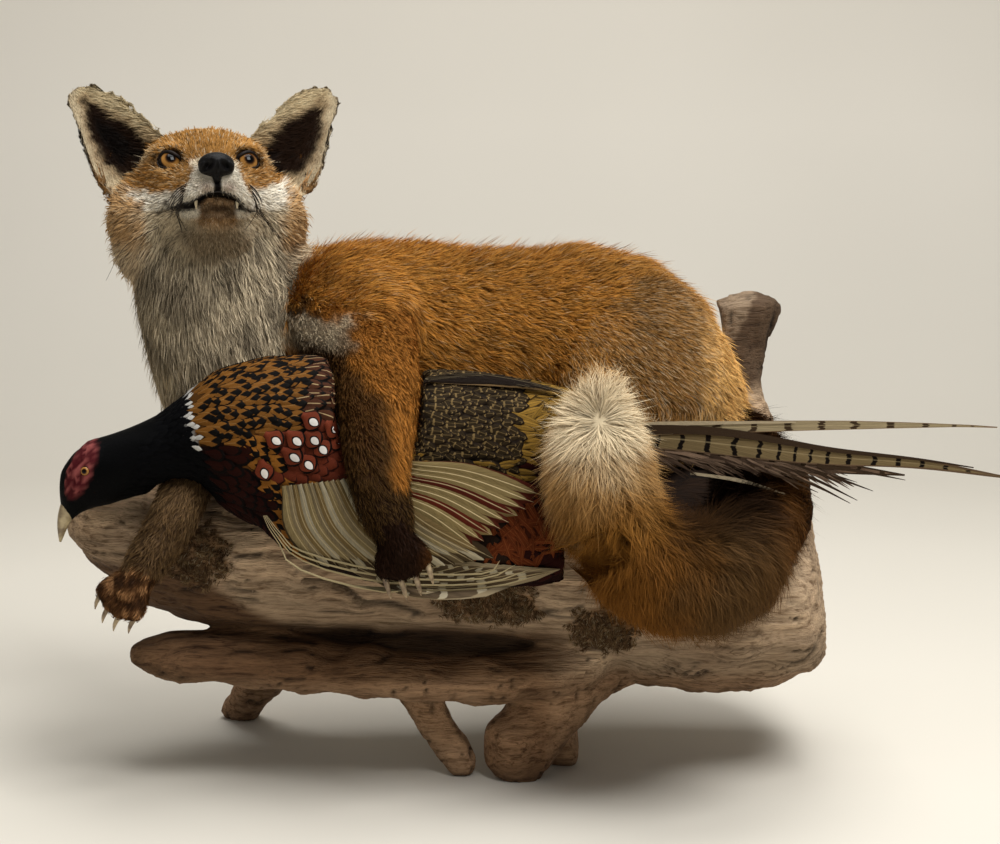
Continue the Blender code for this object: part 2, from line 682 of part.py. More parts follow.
def mirrored_leg(rings):
    """The same leg on the far side of the trunk."""
    return tuple(ring._replace(y=HIND_MIRROR - ring.y) for ring in rings)


def build_legs():
    """The fore legs, and the hind legs with thigh and shank in one."""
    fore_left = tube(FORELEG_LEFT, up=(0, -1, 0.4), sides=12, count=10)
    fore_right = tube(FORELEG_RIGHT, up=(-1, 0, 0.2), sides=12, count=9)
    made = [
        add_object("foreleg_left", *fore_left, "fur"),
        add_object("foreleg_right", *fore_right, "fur"),
    ]
    for name, turned in (("left", tuple), ("right", mirrored_leg)):
        shapes = [
            tube(turned(THIGH_LEFT), up=(0, 1, 0), sides=20, count=10),
            tube(turned(SHANK_LEFT), up=(0, 0, 1), sides=14, count=8),
        ]
        made.append(fused("hindleg_" + name, shapes, 0.003, 210, "fur"))
    return made


def build_tail():
    """The tail in three lengths, tip first, parted by flat cuts square to its route."""
    rows = curve_through(TAIL, 101)
    names = ("tail_tip", "tail_middle", "tail_root")
    ends = ((TAIL_CUTS[1], 1.0), (TAIL_CUTS[0], TAIL_CUTS[1]), (0.0, TAIL_CUTS[0]))
    made = []
    for name, (first, last) in zip(names, ends):
        piece = [Ring(*rows[round(100 * s)]) for s in np.linspace(first, last, 7)]
        caps = (0.0 if first > 0 else 0.6, 0.0 if last < 1 else 0.9)
        shape = tube(piece, up=(0.35, 0.35, 1), sides=12, count=6, caps=caps)
        made.append(add_object(name, *shape, "fur_pale" if last == 1 else "fur"))
    return made


def build_trunk():
    """The trunk, and the neck that is cut around its front end."""
    trunk = add_object("trunk", *tube(TRUNK, sides=18, count=11, caps=(0.5, 0.5)), "fur")
    neck = add_object("neck", *tube(NECK, up=(0, 1, 0), sides=14, count=7), "fur_pale")
    return [trunk, neck]


# ---------------------------------------------------------------- the pheasant

def feather_shape(feather):
    """A long tail feather: a thin blade that tapers to its tip and bows upwards."""
    start, end = Vector(feather.start), Vector(feather.end)
    count = 7
    verts, faces = [], []
    for j in range(count):
        t = j / (count - 1)
        half = feather.half_width * (0.45 + 0.55 * min(1, t / 0.3)) * (1 - 0.86 * t ** 1.6)
        centre = start.lerp(end, t) + Vector((0, 0, feather.bow * sin(pi * t)))
        for up, out in ((half, 0), (0, FEATHER_THICK / 2), (-half, 0), (0, -FEATHER_THICK / 2)):
            rim = 0.0003 if out == 0 else 0
            verts.append(centre + Vector((0, out + rim, up)))
    for j in range(count - 1):
        for k in range(4):
            n = (k + 1) % 4
            faces.append((4 * j + k, 4 * j + n, 4 * j + 4 + n, 4 * j + 4 + k))
    faces.append((3, 2, 1, 0))
    faces.append(tuple(4 * (count - 1) + k for k in range(4)))
    return verts, faces


def wing_shape():
    """The folded wing: a plate that bulges outwards between its top and bottom edges."""
    rows = curve_through(BIRD_WING, 9)
    levels = 5
    verts, faces = [], []
    for x, top, bottom, out in rows:
        outline = []
        for k in range(levels):
            v = k / (levels - 1)
            y = out + WING_BULGE * (1 - sin(pi * (0.16 + 0.66 * v)))
            outline.append((y, top + (bottom - top) * v))
        for y, z in outline:
            verts.append(Vector((x, y, z)))
        for y, z in reversed(outline):
            verts.append(Vector((x, y + WING_THICK, z + 0.0006)))
    loop = 2 * levels
    for j in range(len(rows) - 1):
        for k in range(loop):
            n = (k + 1) % loop
            faces.append((j * loop + k, j * loop + n, (j + 1) * loop + n, (j + 1) * loop + k))
    for k in range(levels - 1):
        for start in (0, (len(rows) - 1) * loop):
            faces.append((start + k, start + k + 1, start + loop - 2 - k, start + loop - 1 - k))
    return verts, faces


def build_pheasant():
    """The whole bird as one solid."""
    shapes = [
        tube(BIRD_BODY, sides=20, count=24),
        tube(BIRD_HEAD, up=(0.5, 0, 1), sides=16, count=9, caps=(0.5, 0.7)),
        tube(BIRD_BEAK, up=(-1, 0, 0), sides=12, count=8),
    ]
    bird = fused("pheasant", shapes, 0.0022, 400, "plumage", smoothing=2)
    combine(bird, add_object("wing", *wing_shape()), "UNION")
    for feather in BIRD_TAIL:
        combine(bird, add_object("tail_feather", *feather_shape(feather)), "UNION")
    return bird


# ---------------------------------------------------------------- the driftwood

def weathered(seed, depth):
    """An outline's unevenness: long ridges that wander along the wood."""
    def ripple(share, angle):
        return (1 + depth * sin(3 * angle + seed + 2.2 * share)
                + 0.6 * depth * sin(5 * angle - 1.7 * seed + 5 * share)
                + 0.5 * depth * sin(9 * share + seed + 2 * angle))
    return ripple


def flat_foot(obj):
    """Gives a leg its small flat on the floor."""
    cut_plane(obj, Vector((0, 0, 0)), Vector((0, 0, 1)), True)


def build_wood():
    log = tube(LOG, sides=16, count=12, caps=(0.9, 0.22), ripple=weathered(0.4, 0.022))
    branch = tube(BRANCH, sides=11, count=10, caps=(1.0, 0.5), ripple=weathered(2.1, 0.05))
    made = [add_object("wood_log", *log, "driftwood"), add_object("wood_branch", *branch, "driftwood")]
    feet = {
        "wood_knob_foot": (KNOB_FOOT, 11, 6, (0, 1, 0)),
        "wood_stub": (STUB, 9, 7, (0, 1, 0.4)),
        "wood_leg_front": (LEG_FRONT, 9, 6, (0, 1, 0)),
        "wood_rear_foot": (REAR_FOOT, 8, 6, (0, 1, 0)),
        "wood_back_root": (BACK_ROOT, 10, 6, (1, 0, 0.2)),
    }
    for seed, (name, (rings, sides, count, up)) in enumerate(feet.items()):
        shape = tube(rings, up=up, sides=sides, count=count, caps=(0, 1.1),
                     ripple=weathered(1.3 * seed, 0.05))
        foot = add_object(name, *shape, "driftwood")
        flat_foot(foot)
        made.append(foot)
    shape = tube(SNAG, up=(0, 1, 0), sides=10, count=8, caps=(0, 0.9), ripple=weathered(3.3, 0.07))
    snag = add_object("wood_snag", *shape, "driftwood")
    cut_plane(snag, *SNAG_CUT, False)
    made.append(snag)
    return made


def move_to_origin(order):
    """Moves the model so that the middle of its base is the origin."""
    for obj in order:
        obj.data.transform(Matrix.Translation(-MODEL_MIDDLE))


def main():
    clear_scene()
    make_finishes()
    order = build_eyes() + build_wood() + build_trunk() + build_head()
    order += build_legs() + build_paws() + build_tail() + [build_pheasant()]
    carve(order)
    move_to_origin(order)


main()
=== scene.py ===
"""The looks of a mounted red fox that lies along driftwood with a cock pheasant under its paw.

One skin stands for all the nodes of flesh and lies inside them by the coat's depth. The coat,
the plumage and the moss are joined meshes of thin tufts and vanes. Sizes are in metres, in the
row frame: X along the log, -Y towards the fox's left flank, Z up.
"""

import logging
from collections.abc import Callable
from dataclasses import dataclass, field
from enum import Enum
from math import cos, pi, radians, sin

import bmesh
import bpy
import numpy as np
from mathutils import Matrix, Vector
from mathutils.bvhtree import BVHTree


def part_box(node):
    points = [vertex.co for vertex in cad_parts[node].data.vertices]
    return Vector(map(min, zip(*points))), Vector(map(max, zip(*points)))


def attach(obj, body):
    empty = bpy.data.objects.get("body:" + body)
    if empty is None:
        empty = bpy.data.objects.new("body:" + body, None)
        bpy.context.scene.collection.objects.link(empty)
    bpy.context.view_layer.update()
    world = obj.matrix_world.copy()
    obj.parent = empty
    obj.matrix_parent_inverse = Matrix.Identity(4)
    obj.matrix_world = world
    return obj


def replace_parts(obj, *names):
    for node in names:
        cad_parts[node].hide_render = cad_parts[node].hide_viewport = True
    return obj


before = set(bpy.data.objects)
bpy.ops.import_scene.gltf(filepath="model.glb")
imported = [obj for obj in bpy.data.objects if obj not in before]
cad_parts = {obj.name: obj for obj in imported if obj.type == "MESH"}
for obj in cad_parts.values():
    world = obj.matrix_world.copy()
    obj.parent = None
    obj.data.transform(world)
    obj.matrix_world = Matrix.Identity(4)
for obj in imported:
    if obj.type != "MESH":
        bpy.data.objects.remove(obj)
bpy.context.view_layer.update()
LOG = logging.getLogger("fox")
Array = np.ndarray
Socket = bpy.types.NodeSocket
Material = bpy.types.Material
Triple = tuple[float, float, float]
Rule = Callable[[Array], Array]  # one value or one row for each place

# The model's own drawing is laid out about this point, and the row frame starts below it.
MODEL_MIDDLE = np.array((0.01783, -0.0235, 0.0))


# ---------------------------------------------------------------- numbers and fields

def unit(rows: Array) -> Array:
    """Each row at length one."""
    return rows / np.maximum(np.linalg.norm(rows, axis=-1, keepdims=True), 1e-12)


def ease(low: float, high: float, value: Array) -> Array:
    """A smooth step from 0 at low to 1 at high."""
    share = np.clip((value - low) / (high - low), 0, 1)
    return share * share * (3 - 2 * share)


def blend(under: Array, over: Array, share: Array) -> Array:
    """Rows of under with rows of over laid on by a share for each."""
    return under + (np.asarray(over) - np.asarray(under)) * np.asarray(share)[:, None]


def layered(under: Array, *coats: tuple[Array, Array]) -> Array:
    """Colours laid over each other in turn, each with its own share."""
    for over, share in coats:
        under = blend(under, over, share)
    return under


def linear(red: int, green: int, blue: int) -> Triple:
    """A display colour as the light values that the shaders use."""
    values = np.array((red, green, blue)) / 255
    return tuple(np.where(values <= 0.04045, values / 12.92, ((values + 0.055) / 1.055) ** 2.4))


def waves(points: Array, size: float, seed: int) -> Array:
    """A smooth wandering value from about -1 to 1 at each point.

    Args:
        points: Places, one row each.
        size: The distance over which the value changes.
        seed: Picks one of many such fields.

    Returns:
        One value for each point.
    """
    draw = np.random.default_rng(seed)
    count = 9
    turns = unit(draw.normal(size=(count, 3))) * draw.uniform(0.6, 1.7, (count, 1)) * 2 * pi / size
    phases = draw.uniform(0, 2 * pi, count)
    return np.sin(points @ turns.T + phases).sum(axis=1) / 3.0


def smooth_curve(rows: Array, count: int) -> Array:
    """Rows read at equal steps along a smooth curve through all of the given ones."""
    rows = np.array(rows, float)
    padded = np.vstack([2 * rows[0] - rows[1], rows, 2 * rows[-1] - rows[-2]])
    places = np.linspace(0, len(rows) - 1, count)
    index = np.minimum(places.astype(int), len(rows) - 2)
    s = (places - index)[:, None]
    a, b, c, d = (padded[index + k] for k in range(4))
    return 0.5 * (2 * b + (c - a) * s + (2 * a - 5 * b + 4 * c - d) * s ** 2
        + (3 * b - a - 3 * c + d) * s ** 3)


@dataclass
class Shape:
    """A mesh as arrays: points, and faces that all have the same number of corners."""

    points: Array
    faces: Array

    def normals(self) -> Array:
        """The surface direction at each point."""
        corners = self.points[self.faces[:, :3]]
        across = np.cross(corners[:, 1] - corners[:, 0], corners[:, 2] - corners[:, 0])
        if self.faces.shape[1] == 4:
            ends = self.points[self.faces]
            across = np.cross(ends[:, 2] - ends[:, 0], ends[:, 3] - ends[:, 1])
        total = np.zeros_like(self.points)
        for k in range(self.faces.shape[1]):
            for axis in range(3):
                total[:, axis] += np.bincount(self.faces[:, k], across[:, axis], len(total))
        return unit(total)

    def triangles(self) -> Array:
        """The faces as triangles."""
        if self.faces.shape[1] == 3:
            return self.faces
        return np.vstack([self.faces[:, [0, 1, 2]], self.faces[:, [0, 2, 3]]])

    def edges(self) -> Array:
        """Each edge once, as a pair of point numbers."""
        sides = [self.faces[:, [k, (k + 1) % self.faces.shape[1]]] for k in range(self.faces.shape[1])]
        return np.unique(np.sort(np.vstack(sides), axis=1), axis=0)

    def tree(self) -> BVHTree:
        """A search tree over the faces."""
        return BVHTree.FromPolygons(self.points.tolist(), self.faces.tolist())


def joined(shapes: list[Shape]) -> Shape:
    """Several shapes as one, with every face as triangles."""
    points, faces, start = [], [], 0
    for shape in shapes:
        points.append(shape.points)
        faces.append(shape.triangles() + start)
        start += len(shape.points)
    return Shape(np.vstack(points), np.vstack(faces))


def spread(edges: Array, values: Array, rounds: int, share: float = 0.5,
        keep: Array | None = None) -> Array:
    """Values on points, each drawn towards the mean of its neighbours.

    Args:
        edges: Pairs of point numbers.
        values: One row for each point.
        rounds: How many times.
        share: How far each time.
        keep: For each point, how much of share it follows.

    Returns:
        The softened values.
    """
    count = len(values)
    near = np.bincount(edges.ravel(), minlength=count).astype(float)
    values = values.astype(float).reshape(count, -1)
    follow = share if keep is None else share * keep[:, None]
    for _ in range(rounds):
        total = np.empty_like(values)
        for axis in range(values.shape[1]):
            column = values[:, axis]
            total[:, axis] = (np.bincount(edges[:, 0], column[edges[:, 1]], count)
                + np.bincount(edges[:, 1], column[edges[:, 0]], count))
        values = values + follow * (total / np.maximum(near, 1)[:, None] - values)
    return values


def node_shape(name: str, grow: float = 0.0) -> Shape:
    """A CAD node's own mesh with shared corners, moved out along its surface by grow."""
    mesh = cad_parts[name].data
    points = np.empty(len(mesh.vertices) * 3, np.float32)
    mesh.vertices.foreach_get("co", points)
    mesh.calc_loop_triangles()
    faces = np.empty(len(mesh.loop_triangles) * 3, np.int32)
    mesh.loop_triangles.foreach_get("vertices", faces)
    _, first, index = np.unique(np.round(points.reshape(-1, 3), 5), axis=0, return_index=True,
        return_inverse=True)
    faces = index.reshape(-1)[faces.reshape(-1, 3)]
    flat = (faces[:, 0] == faces[:, 1]) | (faces[:, 1] == faces[:, 2]) | (faces[:, 0] == faces[:, 2])
    shape = Shape(points.reshape(-1, 3)[first].astype(float), faces[~flat])
    shape.points = shape.points + shape.normals() * grow
    return shape


def mesh_of(name: str, shape: Shape) -> bpy.types.Mesh:
    """A mesh datablock made from the arrays, shaded smooth."""
    mesh = bpy.data.meshes.new(name)
    count, corners = shape.faces.shape
    mesh.vertices.add(len(shape.points))
    mesh.vertices.foreach_set("co", shape.points.astype(np.float32).ravel())
    mesh.loops.add(count * corners)
    mesh.loops.foreach_set("vertex_index", shape.faces.astype(np.int32).ravel())
    mesh.polygons.add(count)
    mesh.polygons.foreach_set("loop_start", np.arange(0, count * corners, corners, dtype=np.int32))
    mesh.polygons.foreach_set("use_smooth", np.ones(count, bool))
    mesh.update(calc_edges=True)
    return mesh


def remeshed(shape: Shape, voxel: float) -> Shape:
    """One even surface of quads around closed shapes that run into each other."""
    obj = placed("remesh_helper", mesh_of("remesh_helper", shape))
    step = obj.modifiers.new("merge", "REMESH")
    step.mode = "VOXEL"
    step.voxel_size = voxel
    graph = bpy.context.evaluated_depsgraph_get()
    found = obj.evaluated_get(graph)
    mesh = found.to_mesh()
    points = np.empty(len(mesh.vertices) * 3, np.float32)
    mesh.vertices.foreach_get("co", points)
    faces = np.empty(len(mesh.loops), np.int32)
    mesh.loops.foreach_get("vertex_index", faces)
    result = Shape(points.reshape(-1, 3).astype(float), faces.reshape(-1, 4))
    found.to_mesh_clear()
    old = obj.data
    bpy.data.objects.remove(obj, do_unlink=True)
    bpy.data.meshes.remove(old)
    return largest(result)


def largest(shape: Shape) -> Shape:
    """The part of a shape that has the most points, without the loose rest."""
    edges = shape.edges()
    label = np.arange(len(shape.points))
    while True:
        before = label.copy()
        low = np.minimum(label[edges[:, 0]], label[edges[:, 1]])
        np.minimum.at(label, edges[:, 0], low)
        np.minimum.at(label, edges[:, 1], low)
        label = label[label]
        if (label == before).all():
            break
    keep = label == np.bincount(label).argmax()
    number = np.cumsum(keep) - 1
    faces = shape.faces[keep[shape.faces[:, 0]]]
    return Shape(shape.points[keep], number[faces])


def placed(name: str, data: bpy.types.ID) -> bpy.types.Object:
    """A new object in the scene around a datablock."""
    obj = bpy.data.objects.new(name, data)
    bpy.context.scene.collection.objects.link(obj)
    return obj


def new_piece(name: str, shape: Shape, material: Material, slot: str,
        colours: dict[str, Array] | None = None, vectors: dict[str, Array] | None = None,
        places: Array | None = None) -> bpy.types.Object:
    """A finished piece that rides with the model.

    Args:
        name: The piece's name.
        shape: Its mesh.
        material: Its finish.
        slot: The name of a material slot; not used.
        colours: Named colours on the points.
        vectors: Named triples of numbers on the points.
        places: Each point's place on the bake map, if the piece brings its own.

    Returns:
        The new object.
    """
    mesh = mesh_of(name, shape)
    for title, rows in (colours or {}).items():
        layer = mesh.color_attributes.new(title, "FLOAT_COLOR", "POINT")
        layer.data.foreach_set("color", np.c_[rows, np.ones(len(rows))].astype(np.float32).ravel())
    for title, rows in (vectors or {}).items():
        layer = mesh.attributes.new(title, "FLOAT_VECTOR", "POINT")
        layer.data.foreach_set("vector", rows.astype(np.float32).ravel())
    if places is not None:
        layer = mesh.uv_layers.new(name="OFBake")
        layer.data.foreach_set("uv", places[shape.faces.ravel()].astype(np.float32).ravel())
    mesh.materials.append(material)
    obj = placed(name, mesh)
    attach(obj, "root")
    LOG.info("%s: %d faces", name, len(shape.faces))
    return obj


# ---------------------------------------------------------------- simple forms

def tube(route: Array, radii: Array, sides: int = 10, flat: float = 1.0) -> Shape:
    """A round tube along a route, closed with a point at each end.

    Args:
        route: Centres, one row each.
        radii: The radius at each centre.
        sides: Corners round it.
        flat: The second radius as a share of the first.

    Returns:
        The tube.
    """
    ahead = unit(np.gradient(route, axis=0))
    side = np.cross(ahead[0], (0.31, 0.17, 0.93))
    frames = []
    for direction in ahead:
        side = unit(side - direction * (side @ direction))
        frames.append((side, np.cross(direction, side)))
    angles = np.arange(sides) * 2 * pi / sides
    rings = [centre + radius * (np.cos(angles)[:, None] * a + flat * np.sin(angles)[:, None] * b)
        for centre, radius, (a, b) in zip(route, radii, frames)]
    points = np.vstack([*rings, route[:1] - ahead[:1] * radii[0] * 0.6,
        route[-1:] + ahead[-1:] * radii[-1] * 0.6])
    k = np.arange(sides)
    n = (k + 1) % sides
    faces = []
    for j in range(len(route) - 1):
        a, b = j * sides, (j + 1) * sides
        faces += [np.c_[a + k, a + n, b + n], np.c_[a + k, b + n, b + k]]
    last = (len(route) - 1) * sides
    faces.append(np.c_[n, k, np.full(sides, len(points) - 2)])
    faces.append(np.c_[last + k, last + n, np.full(sides, len(points) - 1)])
    return Shape(points, np.vstack(faces))


def ball(centre: Array, size: Array, axes: Array | None = None, sides: int = 48,
        rows: int = 32) -> Shape:
    """An ellipsoid whose poles lie on the last of its axes."""
    axes = np.eye(3) if axes is None else axes
    ring = np.arange(sides) * 2 * pi / sides
    fall = np.arange(1, rows) * pi / rows
    rim = np.sin(fall)[:, None]
    local = np.stack([rim * np.cos(ring), rim * np.sin(ring), np.repeat(np.cos(fall)[:, None], sides,
        axis=1)], axis=-1).reshape(-1, 3)
    local = np.vstack([local, (0, 0, 1), (0, 0, -1)]) * size
    k = np.arange(sides)
    n = (k + 1) % sides
    faces = []
    for j in range(rows - 2):
        a, b = j * sides, (j + 1) * sides
        faces += [np.c_[a + k, b + k, b + n], np.c_[a + k, b + n, a + n]]
    top, low = len(local) - 2, (rows - 2) * sides
    faces += [np.c_[np.full(sides, top), k, n], np.c_[np.full(sides, top + 1), low + n, low + k]]
    return Shape(centre + local @ axes, np.vstack(faces))


def grid_faces(rows: int, columns: int) -> Array:
    """The quads between the points of a grid, which run along each row in turn."""
    j, k = np.meshgrid(np.arange(rows - 1), np.arange(columns - 1), indexing="ij")
    a = (j * columns + k).ravel()
    return np.c_[a, a + 1, a + columns + 1, a + columns]


@dataclass
class Route:
    """A curved line through a part of the body, from which places round the part are read."""

    rows: Array
    points: Array = field(init=False)
    ahead: Array = field(init=False)
    side: Array = field(init=False)
    share: Array = field(init=False)

    def __post_init__(self) -> None:
        """Reads the curve finely and carries a steady side direction along it."""
        self.points = smooth_curve(np.asarray(self.rows), 120)
        self.ahead = unit(np.gradient(self.points, axis=0))
        side = np.cross(self.ahead[0], (0.13, 0.21, 0.95))
        sides = []
        for direction in self.ahead:
            side = unit(side - direction * (side @ direction))
            sides.append(side)
        self.side = np.array(sides)
        steps = np.r_[0, np.cumsum(np.linalg.norm(np.diff(self.points, axis=0), axis=1))]
        self.share = steps / steps[-1]

    def nearest(self, places: Array) -> Array:
        """The number of the curve's point that is nearest to each place."""
        found = []
        for block in np.array_split(places, max(1, len(places) // 20000)):
            gaps = ((block[:, None, :] - self.points[None]) ** 2).sum(axis=2)
            found.append(gaps.argmin(axis=1))
        return np.concatenate(found)

    def unwrap(self, places: Array) -> Array:
        """Each place as its turn round the route and its share along it, both from 0 to 1."""
        index = self.nearest(places)
        offset = places - self.points[index]
        side = self.side[index]
        over = np.cross(self.ahead[index], side)
        turn = np.arctan2((offset * over).sum(axis=1), (offset * side).sum(axis=1)) / (2 * pi) + 0.5
        along = (offset * self.ahead[index]).sum(axis=1) * 0.8
        share = self.share[index] + along
        return np.c_[turn, np.clip(share, 0, 1)]


# ---------------------------------------------------------------- the fox's plan

@dataclass(frozen=True)
class HeadAxes:
    """The head's own side, forward and up, about the middle of the line through its eyes."""

    place: Array
    turn: float = radians(11.5)
    pitch: float = radians(20)

    @property
    def rows(self) -> Array:
        """The three directions, one row each."""
        forward = np.array((sin(self.turn) * cos(self.pitch), -cos(self.turn) * cos(self.pitch),
            sin(self.pitch)))
        side = np.array((cos(self.turn), sin(self.turn), 0.0))
        return np.array((side, forward, np.cross(forward, side)))

    def local(self, points: Array) -> Array:
        """World places in the head's own axes, in millimetres."""
        return (points - self.place) @ self.rows.T * 1000

    def world(self, points: Array) -> Array:
        """Places in the head's own axes, in millimetres, as world places."""
        return np.atleast_2d(np.array(points, float)) / 1000 @ self.rows + self.place

    @staticmethod
    def lean(forward: Array, up: Array) -> Array:
        """How far the muzzle leans to the fox's left, in millimetres."""
        share = 0.02 * np.clip(forward, 0, None) + 0.045 * np.clip(-np.asarray(up), 0, 60)
        return share * ease(-20, 10, np.asarray(forward, float))

    def leaning(self, points: Array) -> Array:
        """Places of an upright face in the head's own axes, as world places of the leaning one."""
        rows = np.atleast_2d(np.array(points, float))
        rows[:, 0] += self.lean(rows[:, 1], rows[:, 2])
        return self.world(rows)


HEAD = HeadAxes(np.array((-0.2038, -0.015, 0.428)) - MODEL_MIDDLE)


def plan(*rows: Triple) -> Array:
    """Places of the model's own drawing as places of the row frame."""
    return np.array(rows) - MODEL_MIDDLE


# The raised face is laid out as it is met from ahead: height there is up plus this share of forward.
SIGHT = 0.364


@dataclass(frozen=True)
class Mouth:
    """The half-open mouth: its height at distances from the middle, in millimetres."""

    across: tuple = (-34, -31.8, -28.6, -23.6, -17.9, -14.1, -11.6, -6.5, 0, 4.2, 9.9, 13.1, 15.6, 18.8,
        22.6, 28.3, 35.8)
    upper: tuple = (-30.5, -29.3, -26.9, -25.0, -23.2, -20.8, -18.9, -16.9, -16.4, -17.0, -19.2, -22.1,
        -25.0, -28.0, -29.0, -30.0, -32.8)
    lower: tuple = (-31.0, -30.9, -30.3, -29.5, -29.2, -28.1, -25.0, -20.4, -20.0, -20.4, -22.4, -28.1,
        -29.0, -30.2, -31.0, -32.0, -33.6)

    def lip(self, side: Array) -> Array:
        """The height of the upper lip's edge."""
        return np.interp(side, self.across, self.upper)

    def floor(self, side: Array) -> Array:
        """The height where the chin and the lower lip close the opening."""
        return np.interp(side, self.across, self.lower)

    def gap(self, side: Array, height: Array, forward: Array, soft: float = 0.9) -> Array:
        """How far a place is inside the opening, from 0 to 1."""
        inside = np.minimum(self.lip(side) - height, height - self.floor(side))
        return ease(-soft, soft, inside) * ease(34, 30, np.abs(side)) * ease(2, 10, forward)

    def crease(self, side: Array, height: Array, forward: Array) -> Array:
        """How near a place is to the line where the lips meet, from 0 to 1."""
        near = np.exp(-((height - self.lip(side)) / 1.1) ** 2)
        return near * ease(38.5, 35, np.abs(side)) * ease(0, 8, forward)


MOUTH = Mouth()


EYE_SIDE = 26.2
EYE_FORWARD = 9.0
EYE_RADIUS = 8.0


class Part(Enum):
    """The parts of the body that the coat tells apart."""

    HEAD = 0
    EARS = 1
    NECK = 2
    TRUNK = 3
    FORELEG_LEFT = 4
    FORELEG_RIGHT = 5
    HINDLEG_LEFT = 6
    HINDLEG_RIGHT = 7
    PAW_FORE_LEFT = 8
    PAW_FORE_RIGHT = 9
    PAW_HIND_LEFT = 10
    PAW_HIND_RIGHT = 11
    TAIL = 12


PART_NODES = {
    Part.HEAD: ("head", "jaw"),
    Part.NECK: ("neck",),
    Part.TRUNK: ("trunk",),
    Part.FORELEG_LEFT: ("foreleg_left",),
    Part.FORELEG_RIGHT: ("foreleg_right",),
    Part.HINDLEG_LEFT: ("hindleg_left",),
    Part.HINDLEG_RIGHT: ("hindleg_right",),
    Part.TAIL: ("tail_root", "tail_middle", "tail_tip"),
}

ROUTES = {
    Part.NECK: Route(plan((-0.206, 0.03, 0.412), (-0.207, 0.016, 0.382), (-0.197, 0.003, 0.316),
        (-0.178, 0.01, 0.25))),
    Part.TRUNK: Route(plan((-0.2, 0.016, 0.29), (-0.085, 0.028, 0.297), (0.02, 0.033, 0.295),
        (0.102, 0.035, 0.286), (0.18, 0.03, 0.225))),
    Part.FORELEG_LEFT: Route(plan((-0.106, -0.002, 0.37), (-0.105, -0.034, 0.326),
        (-0.085, -0.078, 0.3), (-0.079, -0.13, 0.25), (-0.071, -0.15, 0.2))),
    Part.FORELEG_RIGHT: Route(plan((-0.198, 0.01, 0.264), (-0.206, -0.062, 0.236),
        (-0.221, -0.112, 0.19), (-0.235, -0.116, 0.165))),
    Part.HINDLEG_LEFT: Route(plan((0.106, 0.0, 0.345), (0.1, -0.034, 0.285), (0.14, -0.03, 0.238),
        (0.09, -0.046, 0.234), (0.045, -0.048, 0.233))),
    Part.HINDLEG_RIGHT: Route(plan((0.106, 0.073, 0.345), (0.1, 0.107, 0.285), (0.14, 0.103, 0.238),
        (0.09, 0.119, 0.234), (0.045, 0.121, 0.233))),
    Part.TAIL: Route(plan((0.156, 0.026, 0.248), (0.174, -0.006, 0.223), (0.177, -0.052, 0.198),
        (0.166, -0.098, 0.177), (0.139, -0.134, 0.163), (0.102, -0.146, 0.169), (0.075, -0.148, 0.196),
        (0.064, -0.142, 0.226), (0.063, -0.134, 0.254), (0.064, -0.128, 0.282))),
}


@dataclass(frozen=True)
class Paw:
    """A paw from its wrist to its toe tips, with its back turned to a direction."""

    part: Part
    wrist: Array
    tip: Array
    back: Array
    width: float = 0.036
    toe_radius: float = 0.0082
    claw_length: float = 0.0098
    claw_radius: float = 0.0016

    def axes(self) -> tuple[Array, Array, Array]:
        """Along, across and up."""
        along = unit(self.tip - self.wrist)
        across = unit(np.cross(along, self.back))
        return along, across, np.cross(across, along)

    def toes(self) -> list[tuple[Array, Array]]:
        """Each toe's root and end."""
        _, across, _ = self.axes()
        found = []
        for share in (-1.0, -1 / 3, 1 / 3, 1.0):
            reach = 1.0 - 0.13 * share * share
            root = self.wrist + (self.tip - self.wrist) * 0.4 + across * share * self.width * 0.26
            end = self.wrist + (self.tip - self.wrist) * reach + across * share * self.width * 0.4
            found.append((root, end))
        return found

    def flesh(self) -> list[Shape]:
        """The pad and the toes, without their claws."""
        _, _, up = self.axes()
        spine = np.array([self.wrist + (self.tip - self.wrist) * s for s in (-0.1, 0.3, 0.62)])
        shapes = [tube(smooth_curve(spine, 6), np.linspace(0.46, 0.42, 6) * self.width, 16, 0.85)]
        for root, end in self.toes():
            middle = root + (end - root) * 0.6 + up * 0.002
            bend = smooth_curve(np.array([root, middle, end]), 7)
            radii = np.array((0.85, 0.92, 0.98, 1.0, 0.97, 0.88, 0.7)) * self.toe_radius
            shapes.append(tube(bend, radii, 14))
        return shapes

    def claws(self) -> list[Shape]:
        """A curved claw on each toe."""
        along, _, up = self.axes()
        made = []
        for _, end in self.toes():
            tip = end + along * self.claw_length - up * 0.006
            start = end - along * 0.004 + up * 0.0015
            middle = start + (tip - start) * 0.6 + up * 0.0025
            radii = np.array((1.0, 1.0, 0.88, 0.72, 0.5, 0.22)) * self.claw_radius
            made.append(tube(smooth_curve(np.array([start, middle, tip]), 6), radii, 10, 1.25))
        return made


PAWS = (
    Paw(Part.PAW_FORE_LEFT, *plan((-0.07, -0.151, 0.203), (-0.059, -0.152, 0.167)),
        np.array((0.15, -1, 0)), claw_length=0.015),
    Paw(Part.PAW_FORE_RIGHT, *plan((-0.234, -0.117, 0.168), (-0.256, -0.124, 0.136)),
        np.array((-0.3, -1, 0.1))),
    Paw(Part.PAW_HIND_LEFT, *plan((0.048, -0.05, 0.233), (0.012, -0.049, 0.23)), np.array((0, 0, 1))),
    Paw(Part.PAW_HIND_RIGHT, *plan((0.048, 0.123, 0.233), (0.012, 0.122, 0.23)), np.array((0, 0, 1))),
)


